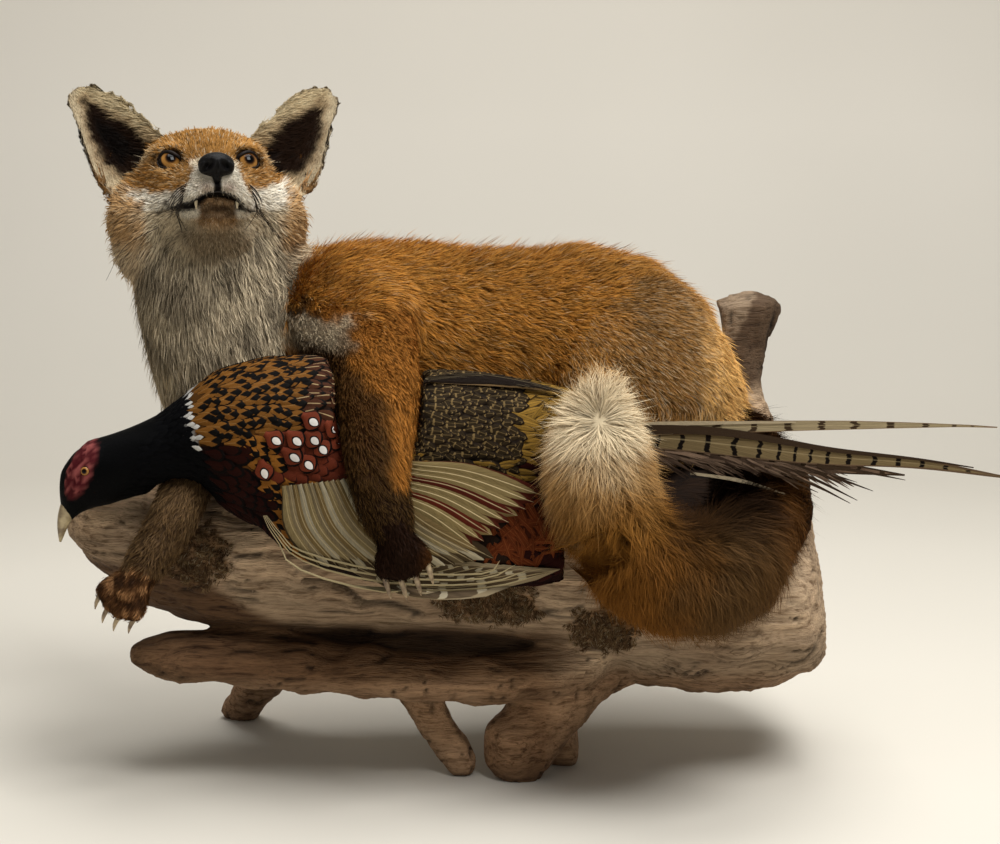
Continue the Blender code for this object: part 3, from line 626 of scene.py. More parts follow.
@dataclass(frozen=True)
class Ear:
    """The cupped shell of one ear in the head's own axes, in millimetres."""

    side: int
    base: Triple = (50.0, -33.0, 12.0)
    tip: Triple = (89.5, -47.0, 84.5)
    shift: float = 2.0
    half_width: float = 31.5
    thick: float = 4.9

    def axes(self) -> tuple[Array, Array, Array, Array, float]:
        """The base, then along, across and forward, and the length."""
        base = np.array((self.base[0] * self.side + self.shift, *self.base[1:]))
        tip = np.array((self.tip[0] * self.side + self.shift, *self.tip[1:]))
        length = float(np.linalg.norm(tip - base))
        along = (tip - base) / length
        forward = np.array((0.16 * self.side, 1, 0))
        forward = unit(forward - along * (forward @ along))
        return base, along, np.cross(along, forward), forward, length

    def half(self, t: Array) -> Array:
        """Half the width at each share of the length, drawn in below the base."""
        return self.half_width * (1 - 0.62 * np.clip(t, 0, 1) ** 1.4) * (1 - 1.7 * np.clip(-t, 0, 0.25))

    def place(self, t: Array, v: Array, lift: Array | float) -> Array:
        """World places on the shell: t along it, v across it, lift in front of its middle."""
        base, along, across, forward, length = self.axes()
        rise = np.clip(t, 0, 1)
        outward = np.sign(across[0] * self.side)
        start = np.where(v * outward > 0, 0.9, 0.74)
        rounding = np.sqrt(np.clip(1 - np.clip((t - start) / (1 - start), 0, 1) ** 2.2, 0, 1))
        half = self.half(t) * (0.1 + 0.9 * rounding)
        depth = 17.0 * (1 - 0.75 * rise) * (1 - 3.0 * np.clip(-t, 0, 1))
        back = depth * np.clip(1 - v * v, 0, 1) ** 0.9
        skew = 3.6 * outward * ease(0.55, 1.0, t)
        local = (base + along * (t * length)[:, None] + across * (v * half + skew)[:, None]
            + forward * (lift - back)[:, None])
        return HEAD.world(local)

    def read(self, spot: "Spot") -> tuple[Array, Array, Array]:
        """Each place's share along the ear, share outwards across it, and whether it is in front."""
        base, along, across, forward, length = self.axes()
        local = np.c_[spot.s, spot.f, spot.u] - base
        t = local @ along / length
        out = (local @ across) / self.half(t)
        out = out * np.sign(across[0] * self.side)
        return t, out, (spot.normals @ (HEAD.rows.T @ forward)) > 0

    def shell(self, columns: int = 21, rows: int = 25) -> Shape:
        """The closed shell."""
        t, v = np.meshgrid(np.linspace(-0.2, 1.0, rows), np.linspace(-1, 1, columns), indexing="ij")
        t, v = t.ravel(), v.ravel()
        rim = self.thick * (1 - 0.35 * np.clip(t, 0, 1)) / 2 * (1 - 0.45 * np.abs(v) ** 3)
        points = np.vstack([self.place(t, v, rim), self.place(t, v, -rim)])
        size = rows * columns
        front = grid_faces(rows, columns)
        rim = list(range(columns))
        rim += [j * columns + columns - 1 for j in range(1, rows)]
        rim += [(rows - 1) * columns + k for k in range(columns - 2, -1, -1)]
        rim += [j * columns for j in range(rows - 2, 0, -1)]
        rim = np.array(rim)
        after = np.roll(rim, -1)
        wall = np.c_[rim, size + rim, size + after, after]
        faces = np.vstack([front, size + front[:, ::-1], wall])
        if self.side < 0:
            return Shape(points, faces[:, ::-1])
        return Shape(points, faces)


EARS = (Ear(1), Ear(-1))


# ---------------------------------------------------------------- finishes

class Nodes:
    """Writes one material's nodes, ending in a Principled shader."""

    def __init__(self, name: str, **settings: float) -> None:
        """Starts the material with uniform values set on the shader's own sockets."""
        self.material = bpy.data.materials.new(name)
        self.material.use_nodes = True
        self.tree = self.material.node_tree
        self.tree.nodes.clear()
        self.shader = self.tree.nodes.new("ShaderNodeBsdfPrincipled")
        output = self.tree.nodes.new("ShaderNodeOutputMaterial")
        self.tree.links.new(self.shader.outputs[0], output.inputs["Surface"])
        for title, value in settings.items():
            self.shader.inputs[title.replace("_", " ")].default_value = value
        self.place = self.tree.nodes.new("ShaderNodeTexCoord").outputs["Object"]

    def put(self, kind: str, settings: dict, **inputs: object) -> bpy.types.Node:
        """A new node with its settings and its inputs, each a value or another node's socket."""
        node = self.tree.nodes.new(kind)
        for title, value in settings.items():
            setattr(node, title, value)
        for title, value in inputs.items():
            key = int(title[1:]) if title[0] == "i" and title[1:].isdigit() else title
            socket = node.inputs[key]
            if isinstance(value, Socket):
                self.tree.links.new(value, socket)
            else:
                socket.default_value = value
        return node

    def attribute(self, title: str) -> Socket:
        """A named colour or triple from the mesh."""
        return self.put("ShaderNodeAttribute", {"attribute_name": title}).outputs["Color"]

    def parts(self, vector: Socket) -> list[Socket]:
        """The three numbers of a triple."""
        return list(self.put("ShaderNodeSeparateXYZ", {}, Vector=vector).outputs)

    def maths(self, operation: str, first: object, second: object = 0.0, clamp: bool = False) -> Socket:
        """One sum."""
        node = self.put("ShaderNodeMath", {"operation": operation, "use_clamp": clamp}, i0=first,
            i1=second)
        return node.outputs[0]

    def times(self, first: object, second: object) -> Socket:
        """The product of two values."""
        return self.maths("MULTIPLY", first, second)

    def plus(self, first: object, second: object) -> Socket:
        """The sum of two values."""
        return self.maths("ADD", first, second)

    def less(self, first: object, second: object) -> Socket:
        """The first value less the second."""
        return self.maths("SUBTRACT", first, second)

    def step(self, value: object, low: float, high: float) -> Socket:
        """A smooth step from 0 at low to 1 at high."""
        node = self.put("ShaderNodeMapRange", {"interpolation_type": "SMOOTHSTEP"}, Value=value)
        node.inputs["From Min"].default_value = min(low, high)
        node.inputs["From Max"].default_value = max(low, high)
        node.inputs["To Min"].default_value = 0.0 if low < high else 1.0
        node.inputs["To Max"].default_value = 1.0 if low < high else 0.0
        return node.outputs[0]

    def length(self, first: object, second: object) -> Socket:
        """The length of the two values at right angles."""
        return self.maths("SQRT", self.plus(self.times(first, first), self.times(second, second)))

    def triple(self, first: object, second: object, third: object) -> Socket:
        """Three values as a place."""
        return self.put("ShaderNodeCombineXYZ", {}, X=first, Y=second, Z=third).outputs[0]

    def mix(self, share: object, under: object, over: object, mode: str = "MIX") -> Socket:
        """Two colours mixed."""
        node = self.put("ShaderNodeMix", {"data_type": "RGBA", "blend_type": mode})
        for key, value in ((0, share), (6, under), (7, over)):
            if isinstance(value, Socket):
                self.tree.links.new(value, node.inputs[key])
            else:
                node.inputs[key].default_value = (*value, 1) if key else value
        return node.outputs[2]

    def noise(self, scale: float, detail: float = 3.0, rough: float = 0.55,
            place: Socket | None = None) -> Socket:
        """Cloudy noise over the piece."""
        return self.put("ShaderNodeTexNoise", {}, Vector=place or self.place, Scale=scale,
            Detail=detail, Roughness=rough).outputs[0]

    def stretched(self, scale: Triple, turn: Triple = (0, 0, 0)) -> Socket:
        """The piece's own places, turned and then drawn out or pressed together."""
        return self.put("ShaderNodeMapping", {}, Vector=self.place, Rotation=turn,
            Scale=scale).outputs[0]

    def ramp(self, share: Socket, stops: list[tuple[float, Triple]]) -> Socket:
        """A colour for each value."""
        node = self.put("ShaderNodeValToRGB", {}, Fac=share)
        elements = node.color_ramp.elements
        while len(elements) < len(stops):
            elements.new(0.5)
        for element, (place, colour) in zip(elements, stops):
            element.position = place
            element.color = (*colour, 1)
        return node.outputs[0]

    def bump(self, height: Socket, distance: float, strength: float = 1.0) -> None:
        """Raises the surface by a height of up to a distance."""
        node = self.put("ShaderNodeBump", {}, Height=height, Distance=distance, Strength=strength)
        self.tree.links.new(node.outputs[0], self.shader.inputs["Normal"])

    def colour(self, value: Socket) -> None:
        """The base colour."""
        self.tree.links.new(value, self.shader.inputs["Base Color"])


@dataclass(frozen=True)
class CoatFinish:
    """Hair, coloured by the mesh's own markings."""

    name: str
    roughness: float = 0.65
    specular: float = 0.05
    strands: float = 0.0

    def build(self) -> Material:
        """The material."""
        nodes = Nodes(self.name, Roughness=self.roughness, Specular_IOR_Level=self.specular)
        mottle = nodes.noise(260.0, 2.0)
        shade = nodes.ramp(mottle, [(0.3, (0.8, 0.8, 0.8)), (0.7, (1.0, 1.0, 1.0))])
        nodes.colour(nodes.mix(1.0, nodes.attribute("coat"), shade, "MULTIPLY"))
        if self.strands:
            nodes.bump(nodes.noise(900.0, 3.0, 0.7), 0.0006, self.strands)
        return nodes.material


# ---------------------------------------------------------------- markings

@dataclass(frozen=True)
class Palette:
    """The fox's hair colours."""

    ginger: tuple = linear(188, 126, 54)
    bright: tuple = linear(200, 146, 78)
    rust: tuple = linear(150, 92, 34)
    deep: tuple = linear(104, 62, 22)
    guard: tuple = linear(58, 34, 14)
    umber: tuple = linear(44, 27, 15)
    black: tuple = linear(22, 13, 8)
    grey: tuple = linear(128, 114, 94)
    cream: tuple = linear(208, 190, 158)
    white: tuple = linear(230, 220, 200)
    straw: tuple = linear(212, 192, 152)
    grizzle: tuple = linear(146, 108, 64)


HAIR = Palette()
REAR_EDGE = linear(250, 196, 118)
CHEST_GREYS = (linear(222, 204, 172), linear(128, 104, 78))
FLANK_TINT = (1.15, 1.09, 0.86)
TAIL_CROWN = plan((0.06, -0.164, 0.279))[0]  # the hair of the tail's end fans out from here


@dataclass
class Spot:
    """Places on the body with what the markings ask about them."""

    points: Array
    labels: Array
    normals: Array

    def __post_init__(self) -> None:
        """Reads the head's own side, forward and up once."""
        self.s, self.f, self.u = HEAD.local(self.points).T
        self.s = self.s - HEAD.lean(self.f, self.u)
        self.b = self.u + SIGHT * self.f

    def wave(self, size: float, seed: int) -> Array:
        """A smooth wandering value at each of them."""
        return waves(self.points, size, seed)

    def on(self, *parts: Part) -> Array:
        """Which of them lie on these parts."""
        return np.isin(self.labels, [part.value for part in parts])


class Markings:
    """The colour of the coat at any place on the body."""

    def head(self, spot: Spot) -> Array:
        """Face, crown, cheeks, lips and throat."""
        s, f, u, b = np.abs(spot.s), spot.f, spot.u, spot.b
        wander = spot.wave(0.016, 3)
        fine = spot.wave(0.007, 4)
        bridge = ease(14, 34, f) * ease(16, 9, s)
        away = (14, 24, 34, 46, 60)
        edge = np.where(spot.s < 0, np.interp(s, away, (-13, -14.5, -16, -18, -20)),
            np.interp(s, away, (-12, -14, -13, -12, -12))) + 1.5 * wander
        cheek = ease(2.0, -3.0, b - edge) * ease(16, 21, s + 0.4 * (b + 20)) * ease(60, 48, f)
        outer = ease(45, 55, s - 0.25 * (b + 20) + 3 * wander)
        low = ease(-27, -31, b + wander) * ease(60, 20, f)
        slope = np.interp(b, (-32, -24, -8, 2), (28.5, 23.5, 16.5, 13.0))
        slope = slope + 4.0 * ease(-12, -26, b) * (spot.s < 0)
        muzzle = ease(1.2, -1.2, s - slope + 0.6 * fine) * ease(22, 30, f) * ease(5, -1, b - 0.15 * s)
        strip = np.exp(-((s - slope - 2.0) / 1.5) ** 2) * ease(-8, -14, b) * ease(12, 20, f)
        tear = np.exp(-((s - 17.0) / 3.0) ** 2 - ((b - 3.5) / 5.0) ** 2) * ease(10, 16, f)
        around = self.eye_ring(spot)
        pink = np.exp(-((s - 7) / 4.5) ** 2 - ((b + 13) / 4) ** 2) * ease(48, 56, f)
        groove = ease(3.2, 2.0, s) * ease(-4, -7, b) * ease(-19, -17, b) * ease(48, 54, f)
        front = ease(2, 12, f)
        chin = ease(13.5, 10.5, s) * ease(-18, -21, b) * ease(-43, -36, b) * ease(20, 30, f)
        swirl = blend(linear(122, 88, 52), linear(176, 138, 94), ease(-0.3, 0.9, fine) * 0.8)
        throat = ease(-40, -46, b) * ease(30, 14, s) * ease(0, 20, f)
        # painted shade: the mouth's opening is made near black for the cavity behind it; the crease where
        # the lips meet is the black lip skin
        dark = np.maximum(MOUTH.gap(spot.s, b, f, 1.4) * 1.2, MOUTH.crease(spot.s, b, f) * front)
        back = ease(-26, -46, f) * ease(-20, 4, u)
        return layered(
            linear(158, 112, 55),
            (HAIR.bright, ease(6, 20, u + 3 * wander) * ease(30, 8, f) * 0.1),
            (HAIR.deep, ease(6, 16, u) * ease(0.2, 1.0, fine) * 0.3),
            (HAIR.rust, ease(13, 2, u) * ease(14, 28, s) * 0.22),
            (linear(206, 164, 108), ease(13, 2, u) * ease(12, 24, s) * ease(-0.4, 0.8, fine) * 0.5),
            (HAIR.straw, ease(30, 44, s) * ease(2, 12, u) * ease(-40, -20, f) * 0.55),
            (HAIR.grizzle, bridge * 0.55),
            (HAIR.bright, np.exp(-((s - 22) / 8) ** 2 - ((b - 15) / 4.5) ** 2) * 0.7),
            (HAIR.white, cheek * (1 - 0.75 * outer)),
            (HAIR.cream, low * (1 - 0.4 * outer)),
            (linear(182, 140, 88), outer * ease(-60, -45, b) * ease(14, 0, u) * 0.8),
            (HAIR.white, muzzle * (1 - ease(-33, -36, b))),
            (HAIR.umber, np.clip(strip * (0.45 + 0.7 * fine), 0, 0.85)),
            (HAIR.cream, self.collar(spot) * 0.9),
            (HAIR.umber, np.clip(tear * 0.55, 0, 1)),
            (HAIR.umber, np.clip(around, 0, 1) * 0.85),
            (linear(150, 112, 92), pink * 0.55),
            (linear(14, 10, 9), groove),
            (swirl, chin * 0.92),
            (linear(118, 98, 72), throat * 0.75),
            (linear(14, 8, 6), np.clip(dark, 0, 1)),
            (HAIR.ginger, ease(-38, -56, f) * ease(0.1, -0.3, spot.normals @ HEAD.rows[1]) * 0.85),
            (HAIR.rust, back * 0.5),
            # painted shade: the head's skin seen deep in each ear's hollow is made near black and left
            # bare
            (linear(22, 13, 7), self.in_ear(spot)),
        )

    @staticmethod
    def collar(spot: Spot) -> Array:
        """The cream hair that stands up just behind the nose, from 0 to 1."""
        return ease(46, 54, spot.f) * ease(68, 64, spot.f) * ease(-2, 5, spot.b)

    @staticmethod
    def in_ear(spot: Spot) -> Array:
        """How far each place of the head lies inside an ear's hollow, from 0 to 1."""
        found = np.zeros(len(spot.s))
        for ear in EARS:
            t, out, facing = ear.read(spot)
            inside = facing * ease(-0.16, -0.08, t) * ease(-0.66, -0.48, out) * ease(0.9, 0.75, out)
            found = np.maximum(found, inside * (spot.s * ear.side > 0) * ease(-20, -25, spot.f))
        return found

    @staticmethod
    def eye_ring(spot: Spot) -> Array:
        """The dark skin that runs round each eye and out of its corners, from 0 to 1."""
        found = np.zeros(len(spot.s))
        for side in (1, -1):
            a = (spot.s - side * EYE_SIDE) * side
            gap = np.hypot(a / 1.18, spot.u - 0.5) - 8.4
            found = np.maximum(found, ease(1.3, 0.1, gap) * (spot.f > 2))
        return found

    def ears(self, spot: Spot) -> Array:
        """Black backs and rims, straw fronts and a dark hollow."""
        rows = np.tile(HAIR.black, (len(spot.s), 1))
        wander = spot.wave(0.012, 19)
        for ear in EARS:
            near = spot.s * ear.side > 0
            t, out, facing = ear.read(spot)
            front = near & facing
            tone = blend(HAIR.straw, HAIR.cream, ease(0.2, 0.75, out) * 0.7)
            tone = blend(tone, linear(176, 132, 76), ease(0.25, 0.0, t) * ease(0.1, -0.5, out) * 0.8)
            middle = np.interp(t, (0.1, 0.75), (-0.1, 0.18))
            wide = np.interp(t, (0.1, 0.75), (0.76, 0.56))
            hole = np.hypot((t - 0.37) / 0.44, (out - middle) / wide) + 0.08 * wander
            tone = layered(
                tone,
                (HAIR.grizzle, ease(1.35, 1.0, hole) * 0.5),
                (linear(34, 20, 10), ease(1.1, 0.8, hole)),
                # painted shade: only the right ear's hollow, which takes less light, is darkened further
                (linear(13, 7, 4), ease(0.75, 0.35, hole) * (ear.side < 0)),
                (HAIR.umber, ease(0.93, 0.99, np.maximum(out, t)) * 0.6),
            )
            rows[front] = tone[front]
            rear = near & ~facing
            root = ease(0.35, 0.0, t)
            rows[rear] = layered(
                rows[rear],
                (HAIR.grizzle, (root * 0.8)[rear]),
                (HAIR.straw, (ease(-0.65, -0.9, out) * 0.9)[rear]),
                (linear(112, 84, 54), (ease(0.86, 0.96, t) * 0.7)[rear]),
            )
        return rows

    def neck(self, spot: Spot) -> Array:
        """White and grey in front, ginger behind and at the shoulder."""
        x, y, z = spot.points.T
        wander = spot.wave(0.03, 5)
        front = ease(0.15, -0.35, spot.normals[:, 1] + 0.25 * spot.normals[:, 0] + 0.12 * wander)
        front = front * ease(-0.138, -0.158, x + 0.01 * wander)
        front = np.maximum(front, ease(-0.165, -0.178, x) * ease(0.03, -0.01, y))
        pale = blend(HAIR.cream, linear(134, 120, 98), ease(-0.6, 0.8, wander) * 0.85)
        rows = layered(HAIR.ginger, (HAIR.rust, ease(-0.2, 0.8, wander) * 0.4), (pale, front),)
        return rows * (1 + 0.4 * ease(0.335, 0.29, z))[:, None]

    @staticmethod
    def chest(spot: Spot) -> Array:
        """How far each place is inside the pale grey patch in front of the shoulder, from 0 to 1."""
        x, _, z = spot.points.T
        wander = spot.wave(0.016, 27)
        inside = ease(-0.11, -0.122, x + 0.004 * wander) * ease(0.331, 0.322, z + 0.004 * wander)
        return inside * ease(0.304, 0.315, z) * (spot.points[:, 1] < 0.0) * 0.85

    def trunk(self, spot: Spot) -> Array:
        """Ginger back, deeper flank and a pale belly edge."""
        x, _, z = spot.points.T
        wander = spot.wave(0.034, 7)
        streak = waves(spot.points * (0.45, 1, 1), 0.009, 28)
        dorsal = ease(0.345, 0.375, z + 0.006 * wander) * ease(-0.06, -0.02, x)
        belly = ease(0.252, 0.232, z + 0.006 * wander)
        rump = ease(0.03, 0.11, x + 0.01 * wander)
        rows = HAIR.ginger
        rows = layered(
            rows,
            (linear(164, 100, 34), ease(0.35, 0.27, z + 0.012 * wander) * 0.55),
            (HAIR.deep, ease(0.1, 1.0, wander) * 0.26 + ease(0.2, 1.1, streak) * 0.3),
            (linear(214, 152, 70), ease(0.1, 1.0, -streak) * 0.35),
            (HAIR.deep, dorsal * 0.3),
            (HAIR.cream, belly * 0.7),
            (linear(146, 102, 54), rump * 0.7),
        )
        rows = blend(rows * FLANK_TINT, REAR_EDGE, self.rear(spot))
        grey = blend(*CHEST_GREYS, ease(0.2, 1.0, streak) * 0.6)
        return blend(rows, grey, self.chest(spot))

    @staticmethod
    def rear(spot: Spot) -> Array:
        """How far each place is on the pale orange edge behind the thigh, from 0 to 1."""
        x, _, z = spot.points.T
        return ease(0.106, 0.132, x + 0.004 * spot.wave(0.02, 26)) * ease(0.35, 0.3, z) * 0.85

    def legs(self, spot: Spot) -> Array:
        """Ginger above, dark stockings in front."""
        x, _, z = spot.points.T
        wander = spot.wave(0.026, 9)
        rows = np.tile(HAIR.ginger, (len(x), 1))
        left = spot.on(Part.FORELEG_LEFT)
        rows[left] = blend(rows[left], linear(160, 96, 34), np.full(left.sum(), 0.6))
        border = np.interp(z, (0.205, 0.228, 0.267, 0.313, 0.335),
            (-0.04, -0.076, -0.096, -0.114, -0.15))
        dark = ease(0.009, -0.009, x - border + 0.007 * wander)
        tone = blend(linear(72, 42, 18), linear(33, 18, 8), ease(0.29, 0.21, z))
        rows = blend(rows, tone, left * dark * 0.99)
        grey = blend(*CHEST_GREYS, ease(0, 1, wander) * 0.5)
        rows = blend(rows, grey, left * self.chest(spot))
        right = spot.on(Part.FORELEG_RIGHT)
        rows[right] = blend(linear(112, 88, 62), HAIR.umber, (ease(0.215, 0.18, z) * 0.45
            + ease(0, 1, wander) * 0.35)[right])
        hind = spot.on(Part.HINDLEG_LEFT, Part.HINDLEG_RIGHT)
        thigh = blend(linear(138, 94, 50), HAIR.deep, ease(0.0, 1.0, wander) * 0.35)
        thigh = layered(
            thigh,
            (HAIR.ginger, ease(0.075, 0.045, x + 0.012 * wander) * 0.8),
            (REAR_EDGE, self.rear(spot)),
            # painted shade in the crease at the front and foot of the thigh
            (HAIR.umber, ease(0.272, 0.246, z) * ease(0.11, 0.05, x) * 0.6),
        )
        rows[hind] = thigh[hind]
        return rows

    def paws(self, spot: Spot) -> Array:
        """Dark feet, and a tan one under the bird."""
        rows = np.tile(HAIR.umber, (len(spot.s), 1))
        right = spot.on(Part.PAW_FORE_RIGHT)
        blotch = spot.wave(0.009, 25)[right]
        rows[right] = blend(linear(92, 60, 34), HAIR.umber, ease(0.0, 0.9, blotch) * 0.8)
        rows[right] = blend(rows[right], linear(176, 128, 84), ease(0.1, 0.9, -blotch) * 0.8)
        left = spot.on(Part.PAW_FORE_LEFT)
        rows[left] = blend(linear(38, 21, 10), HAIR.rust, ease(-0.074, -0.058, spot.points[left, 0])
            * 0.25)
        return rows

    def tail(self, spot: Spot) -> Array:
        """Cream at the tip, gold round it, ginger below and dark along the outside."""
        route = ROUTES[Part.TAIL]
        index = route.nearest(spot.points)
        t = route.share[index]
        wander = spot.wave(0.03, 13)
        away = np.linalg.norm(spot.points - TAIL_CROWN, axis=1) + 0.005 * wander
        right = (spot.points - TAIL_CROWN)[:, 0] + 0.006 * wander
        outer = ease(0.45, -0.35, -spot.normals[:, 1]) * ease(0.95, 0.8, t)
        outer = outer * ease(0.06, 0.085, spot.points[:, 0])
        # painted shadow: the hair in the hollow under the bird's tail feathers is darkened near black
        hollow = np.hypot((spot.points[:, 0] - 0.12) / 0.044, (spot.points[:, 2] - 0.214) / 0.024)
        end = ease(0.6, 0.7, t)
        return layered(
            linear(120, 76, 28),
            (linear(138, 92, 36), ease(0.105, 0.06, away)),
            (linear(84, 62, 36), ease(0.03, 0.08, right) * 0.85),
            (HAIR.deep, ease(0.55, 0.38, t) * 0.6),
            (HAIR.umber, ease(0.34, 0.12, t) * 0.7),
            (HAIR.umber, outer * 0.75),
            (linear(20, 12, 7), ease(1.3, 0.7, hollow) * 0.92),
            (HAIR.grey, ease(-0.012, -0.026, right) * ease(0.11, 0.05, away) * end * 0.5),
            (linear(206, 170, 116), ease(0.07, 0.034, away) * end * 0.5),
            (linear(232, 214, 178), ease(0.042, 0.016, away) * end * 0.85),
        )

    def colour(self, spot: Spot) -> Array:
        """The coat's colour at each place, by the part that it lies on."""
        rows = np.zeros((len(spot.points), 3))
        legs = (Part.FORELEG_LEFT, Part.FORELEG_RIGHT, Part.HINDLEG_LEFT, Part.HINDLEG_RIGHT)
        paws = (Part.PAW_FORE_LEFT, Part.PAW_FORE_RIGHT, Part.PAW_HIND_LEFT, Part.PAW_HIND_RIGHT)
        for parts, rule in (((Part.HEAD,), self.head), ((Part.EARS,), self.ears),
                ((Part.NECK,), self.neck), ((Part.TRUNK,), self.trunk), (legs, self.legs),
                (paws, self.paws), ((Part.TAIL,), self.tail)):
            here = spot.on(*parts)
            if here.any():
                part = Spot(spot.points[here], spot.labels[here], spot.normals[here])
                rows[here] = rule(part)
        return np.clip(rows, 0, 1)


# ---------------------------------------------------------------- the skin

DEPTHS = {
    Part.HEAD: 0.0028,
    Part.EARS: 0.0008,
    Part.NECK: 0.0065,
    Part.TRUNK: 0.0062,
    Part.FORELEG_LEFT: 0.0034,
    Part.FORELEG_RIGHT: 0.0034,
    Part.HINDLEG_LEFT: 0.0048,
    Part.HINDLEG_RIGHT: 0.0048,
    Part.PAW_FORE_LEFT: 0.0012,
    Part.PAW_FORE_RIGHT: 0.0012,
    Part.PAW_HIND_LEFT: 0.0012,
    Part.PAW_HIND_RIGHT: 0.0012,
    Part.TAIL: 0.012,
}


@dataclass
class Skin:
    """The one hide under the coat, with the lie, depth and colour of the hair on it."""

    voxel: float = 0.0026
    grow: float = 0.0012
    shape: Shape = field(init=False)
    labels: Array = field(init=False)
    flow: Array = field(init=False)
    normals: Array = field(init=False)
    depth: Array = field(init=False)
    colours: Array = field(init=False)
    tree: BVHTree = field(init=False)

    def __post_init__(self) -> None:
        """Builds the surface and everything that the coat reads from it."""
        shapes = [node_shape(node, self.grow) for nodes in PART_NODES.values() for node in nodes
            if node != "head"]
        shapes.append(self.drawn_in(node_shape("head", self.grow)))
        shapes += [ear.shell() for ear in EARS]
        for paw in PAWS:
            shapes += paw.flesh()
        shape = self.shape = self.refined(remeshed(joined(shapes), self.voxel))
        LOG.info("skin: %d points", len(shape.points))
        self.labels = self.label(shape.points)
        edges = shape.edges()
        soft = np.array([self.softness(part) for part in Part])[self.labels][:, None]
        soft = spread(edges, soft, 8).ravel()
        for _ in range(9):
            shape.points = spread(edges, shape.points, 1, 0.55, soft)
            shape.points = spread(edges, shape.points, 1, -0.5, soft)
        shape.points = spread(edges, shape.points, 3, 0.5, soft)
        x, y, z = shape.points.T
        seam = np.maximum(np.exp(-((x + 0.085) / 0.06) ** 4 - ((z - 0.352) / 0.05) ** 4),
            np.exp(-((x - 0.045) / 0.06) ** 4 - ((z - 0.315) / 0.048) ** 4))
        seam = seam * (y < 0.06) * np.isin(self.labels, (Part.TRUNK.value, Part.FORELEG_LEFT.value,
            Part.HINDLEG_LEFT.value))
        shape.points = spread(edges, shape.points, 70, 0.5, seam)
        depth = np.array([DEPTHS[part] for part in Part])[self.labels][:, None]
        head = self.labels == Part.HEAD.value
        s, f, u = HEAD.local(shape.points).T
        cheeks = ease(14, -20, f) * ease(18, 36, np.abs(s)) * ease(20, 0, u)
        face = ease(20, 46, f)
        depth[head, 0] += (0.004 * cheeks - 0.0018 * face)[head]
        self.depth = spread(edges, depth, 14).ravel()
        self.normals = shape.normals()
        grown = self.grow * (self.labels != Part.EARS.value)
        shape.points = shape.points - self.normals * (self.depth + grown)[:, None]
        shape.points = spread(edges, shape.points, 2, 0.5, soft)
        self.model_face(edges)
        self.normals = unit(spread(edges, shape.normals(), 3))
        self.flow = self.comb(edges)
        self.colours = Markings().colour(Spot(shape.points, self.labels, self.normals))
        self.colours = np.clip(spread(edges, self.colours, 2), 0, 1)
        self.tree = shape.tree()

    @staticmethod
    def drawn_in(shape: Shape) -> Shape:
        """The head with hollow temples, so that the ears open in front of it."""
        s, _, u = HEAD.local(shape.points).T
        ahead = shape.normals() @ HEAD.rows[1] > 0.05
        push = 0.026 * ease(40, 54, np.abs(s)) * ease(-24, -8, u) * ahead
        return Shape(shape.points - np.outer(push, HEAD.rows[1]), shape.faces)

    @staticmethod
    def refined(shape: Shape) -> Shape:
        """The surface with finer faces on the muzzle and finest round the mouth and the eyes."""
        work = bmesh.new()
        work.from_mesh(mesh_of("refine_helper", shape))

        for behind, wide, low, high, sight in ((-4, 44, -66, 26, 0), (6, 42, -40, -4, SIGHT)):
            middles = np.array([face.calc_center_median() for face in work.faces])
            s, f, u = HEAD.local(middles).T
            height = u + sight * f
            inside = (f > behind) & (np.abs(s) < wide) & (height > low) & (height < high)
            work.faces.ensure_lookup_table()
            edges = {edge for k in np.flatnonzero(inside) for edge in work.faces[k].edges}
            bmesh.ops.subdivide_edges(work, edges=list(edges), cuts=1, use_grid_fill=True)
        bmesh.ops.triangulate(work, faces=work.faces[:])
        points = np.array([vert.co for vert in work.verts])
        faces = np.array([[vert.index for vert in face.verts] for face in work.faces])
        work.free()
        return Shape(points, faces)

    def model_face(self, edges: Array) -> None:
        """Shapes the lips, the opening of the mouth, the lids and the brow, then leans the muzzle."""
        head = self.labels == Part.HEAD.value
        local = HEAD.local(self.shape.points)
        s, f, u = local.T
        b = u + SIGHT * f
        ahead = self.shape.normals() @ HEAD.rows[1] > -0.2
        front = head & ahead & (f > 2)
        push = np.zeros(len(s))
        push -= 6.5 * MOUTH.gap(s, b, f)
        push -= 1.3 * MOUTH.crease(s, b, f)
        lip = b - MOUTH.lip(s)
        push += 1.7 * np.exp(-((lip - 3.2) / 2.4) ** 2) * ease(26, 16, np.abs(s)) * ease(20, 36, f)
        push += 0.9 * np.exp(-((b - MOUTH.floor(s) + 2.0) / 1.6) ** 2) * ease(26, 12,
            np.abs(s)) * ease(16, 30, f)
        push -= 1.3 * np.exp(-(s / 2.0) ** 2) * ease(-4, -8, b) * ease(-20, -16, b) * ease(48, 54, f)
        for side in (1, -1):
            a = (s - side * EYE_SIDE) * side
            gap = np.hypot(a / 1.18, u - 0.5)
            push += 1.3 * np.exp(-((gap - 10.2) / 1.9) ** 2) * (f > 2)
            push -= 3.0 * ease(8.6, 6.8, gap) * (f > 2)
            push += 1.0 * np.exp(-((a - 1) / 9.0) ** 2 - ((u - 13) / 3.5) ** 2)
        local[:, 1] += push * front
        local[:, 0] += HEAD.lean(f, u) * head
        self.shape.points = HEAD.world(local)
        share = np.where(front, 0.35, 0.0)
        self.shape.points = spread(edges, self.shape.points, 1, 0.5, share)

    @staticmethod
    def softness(part: Part) -> float:
        """How freely a part's surface is smoothed."""
        if part is Part.EARS:
            return 0.45
        if part.name.startswith("PAW"):
            return 0.3
        return 0.5 if part is Part.HEAD else 1.0

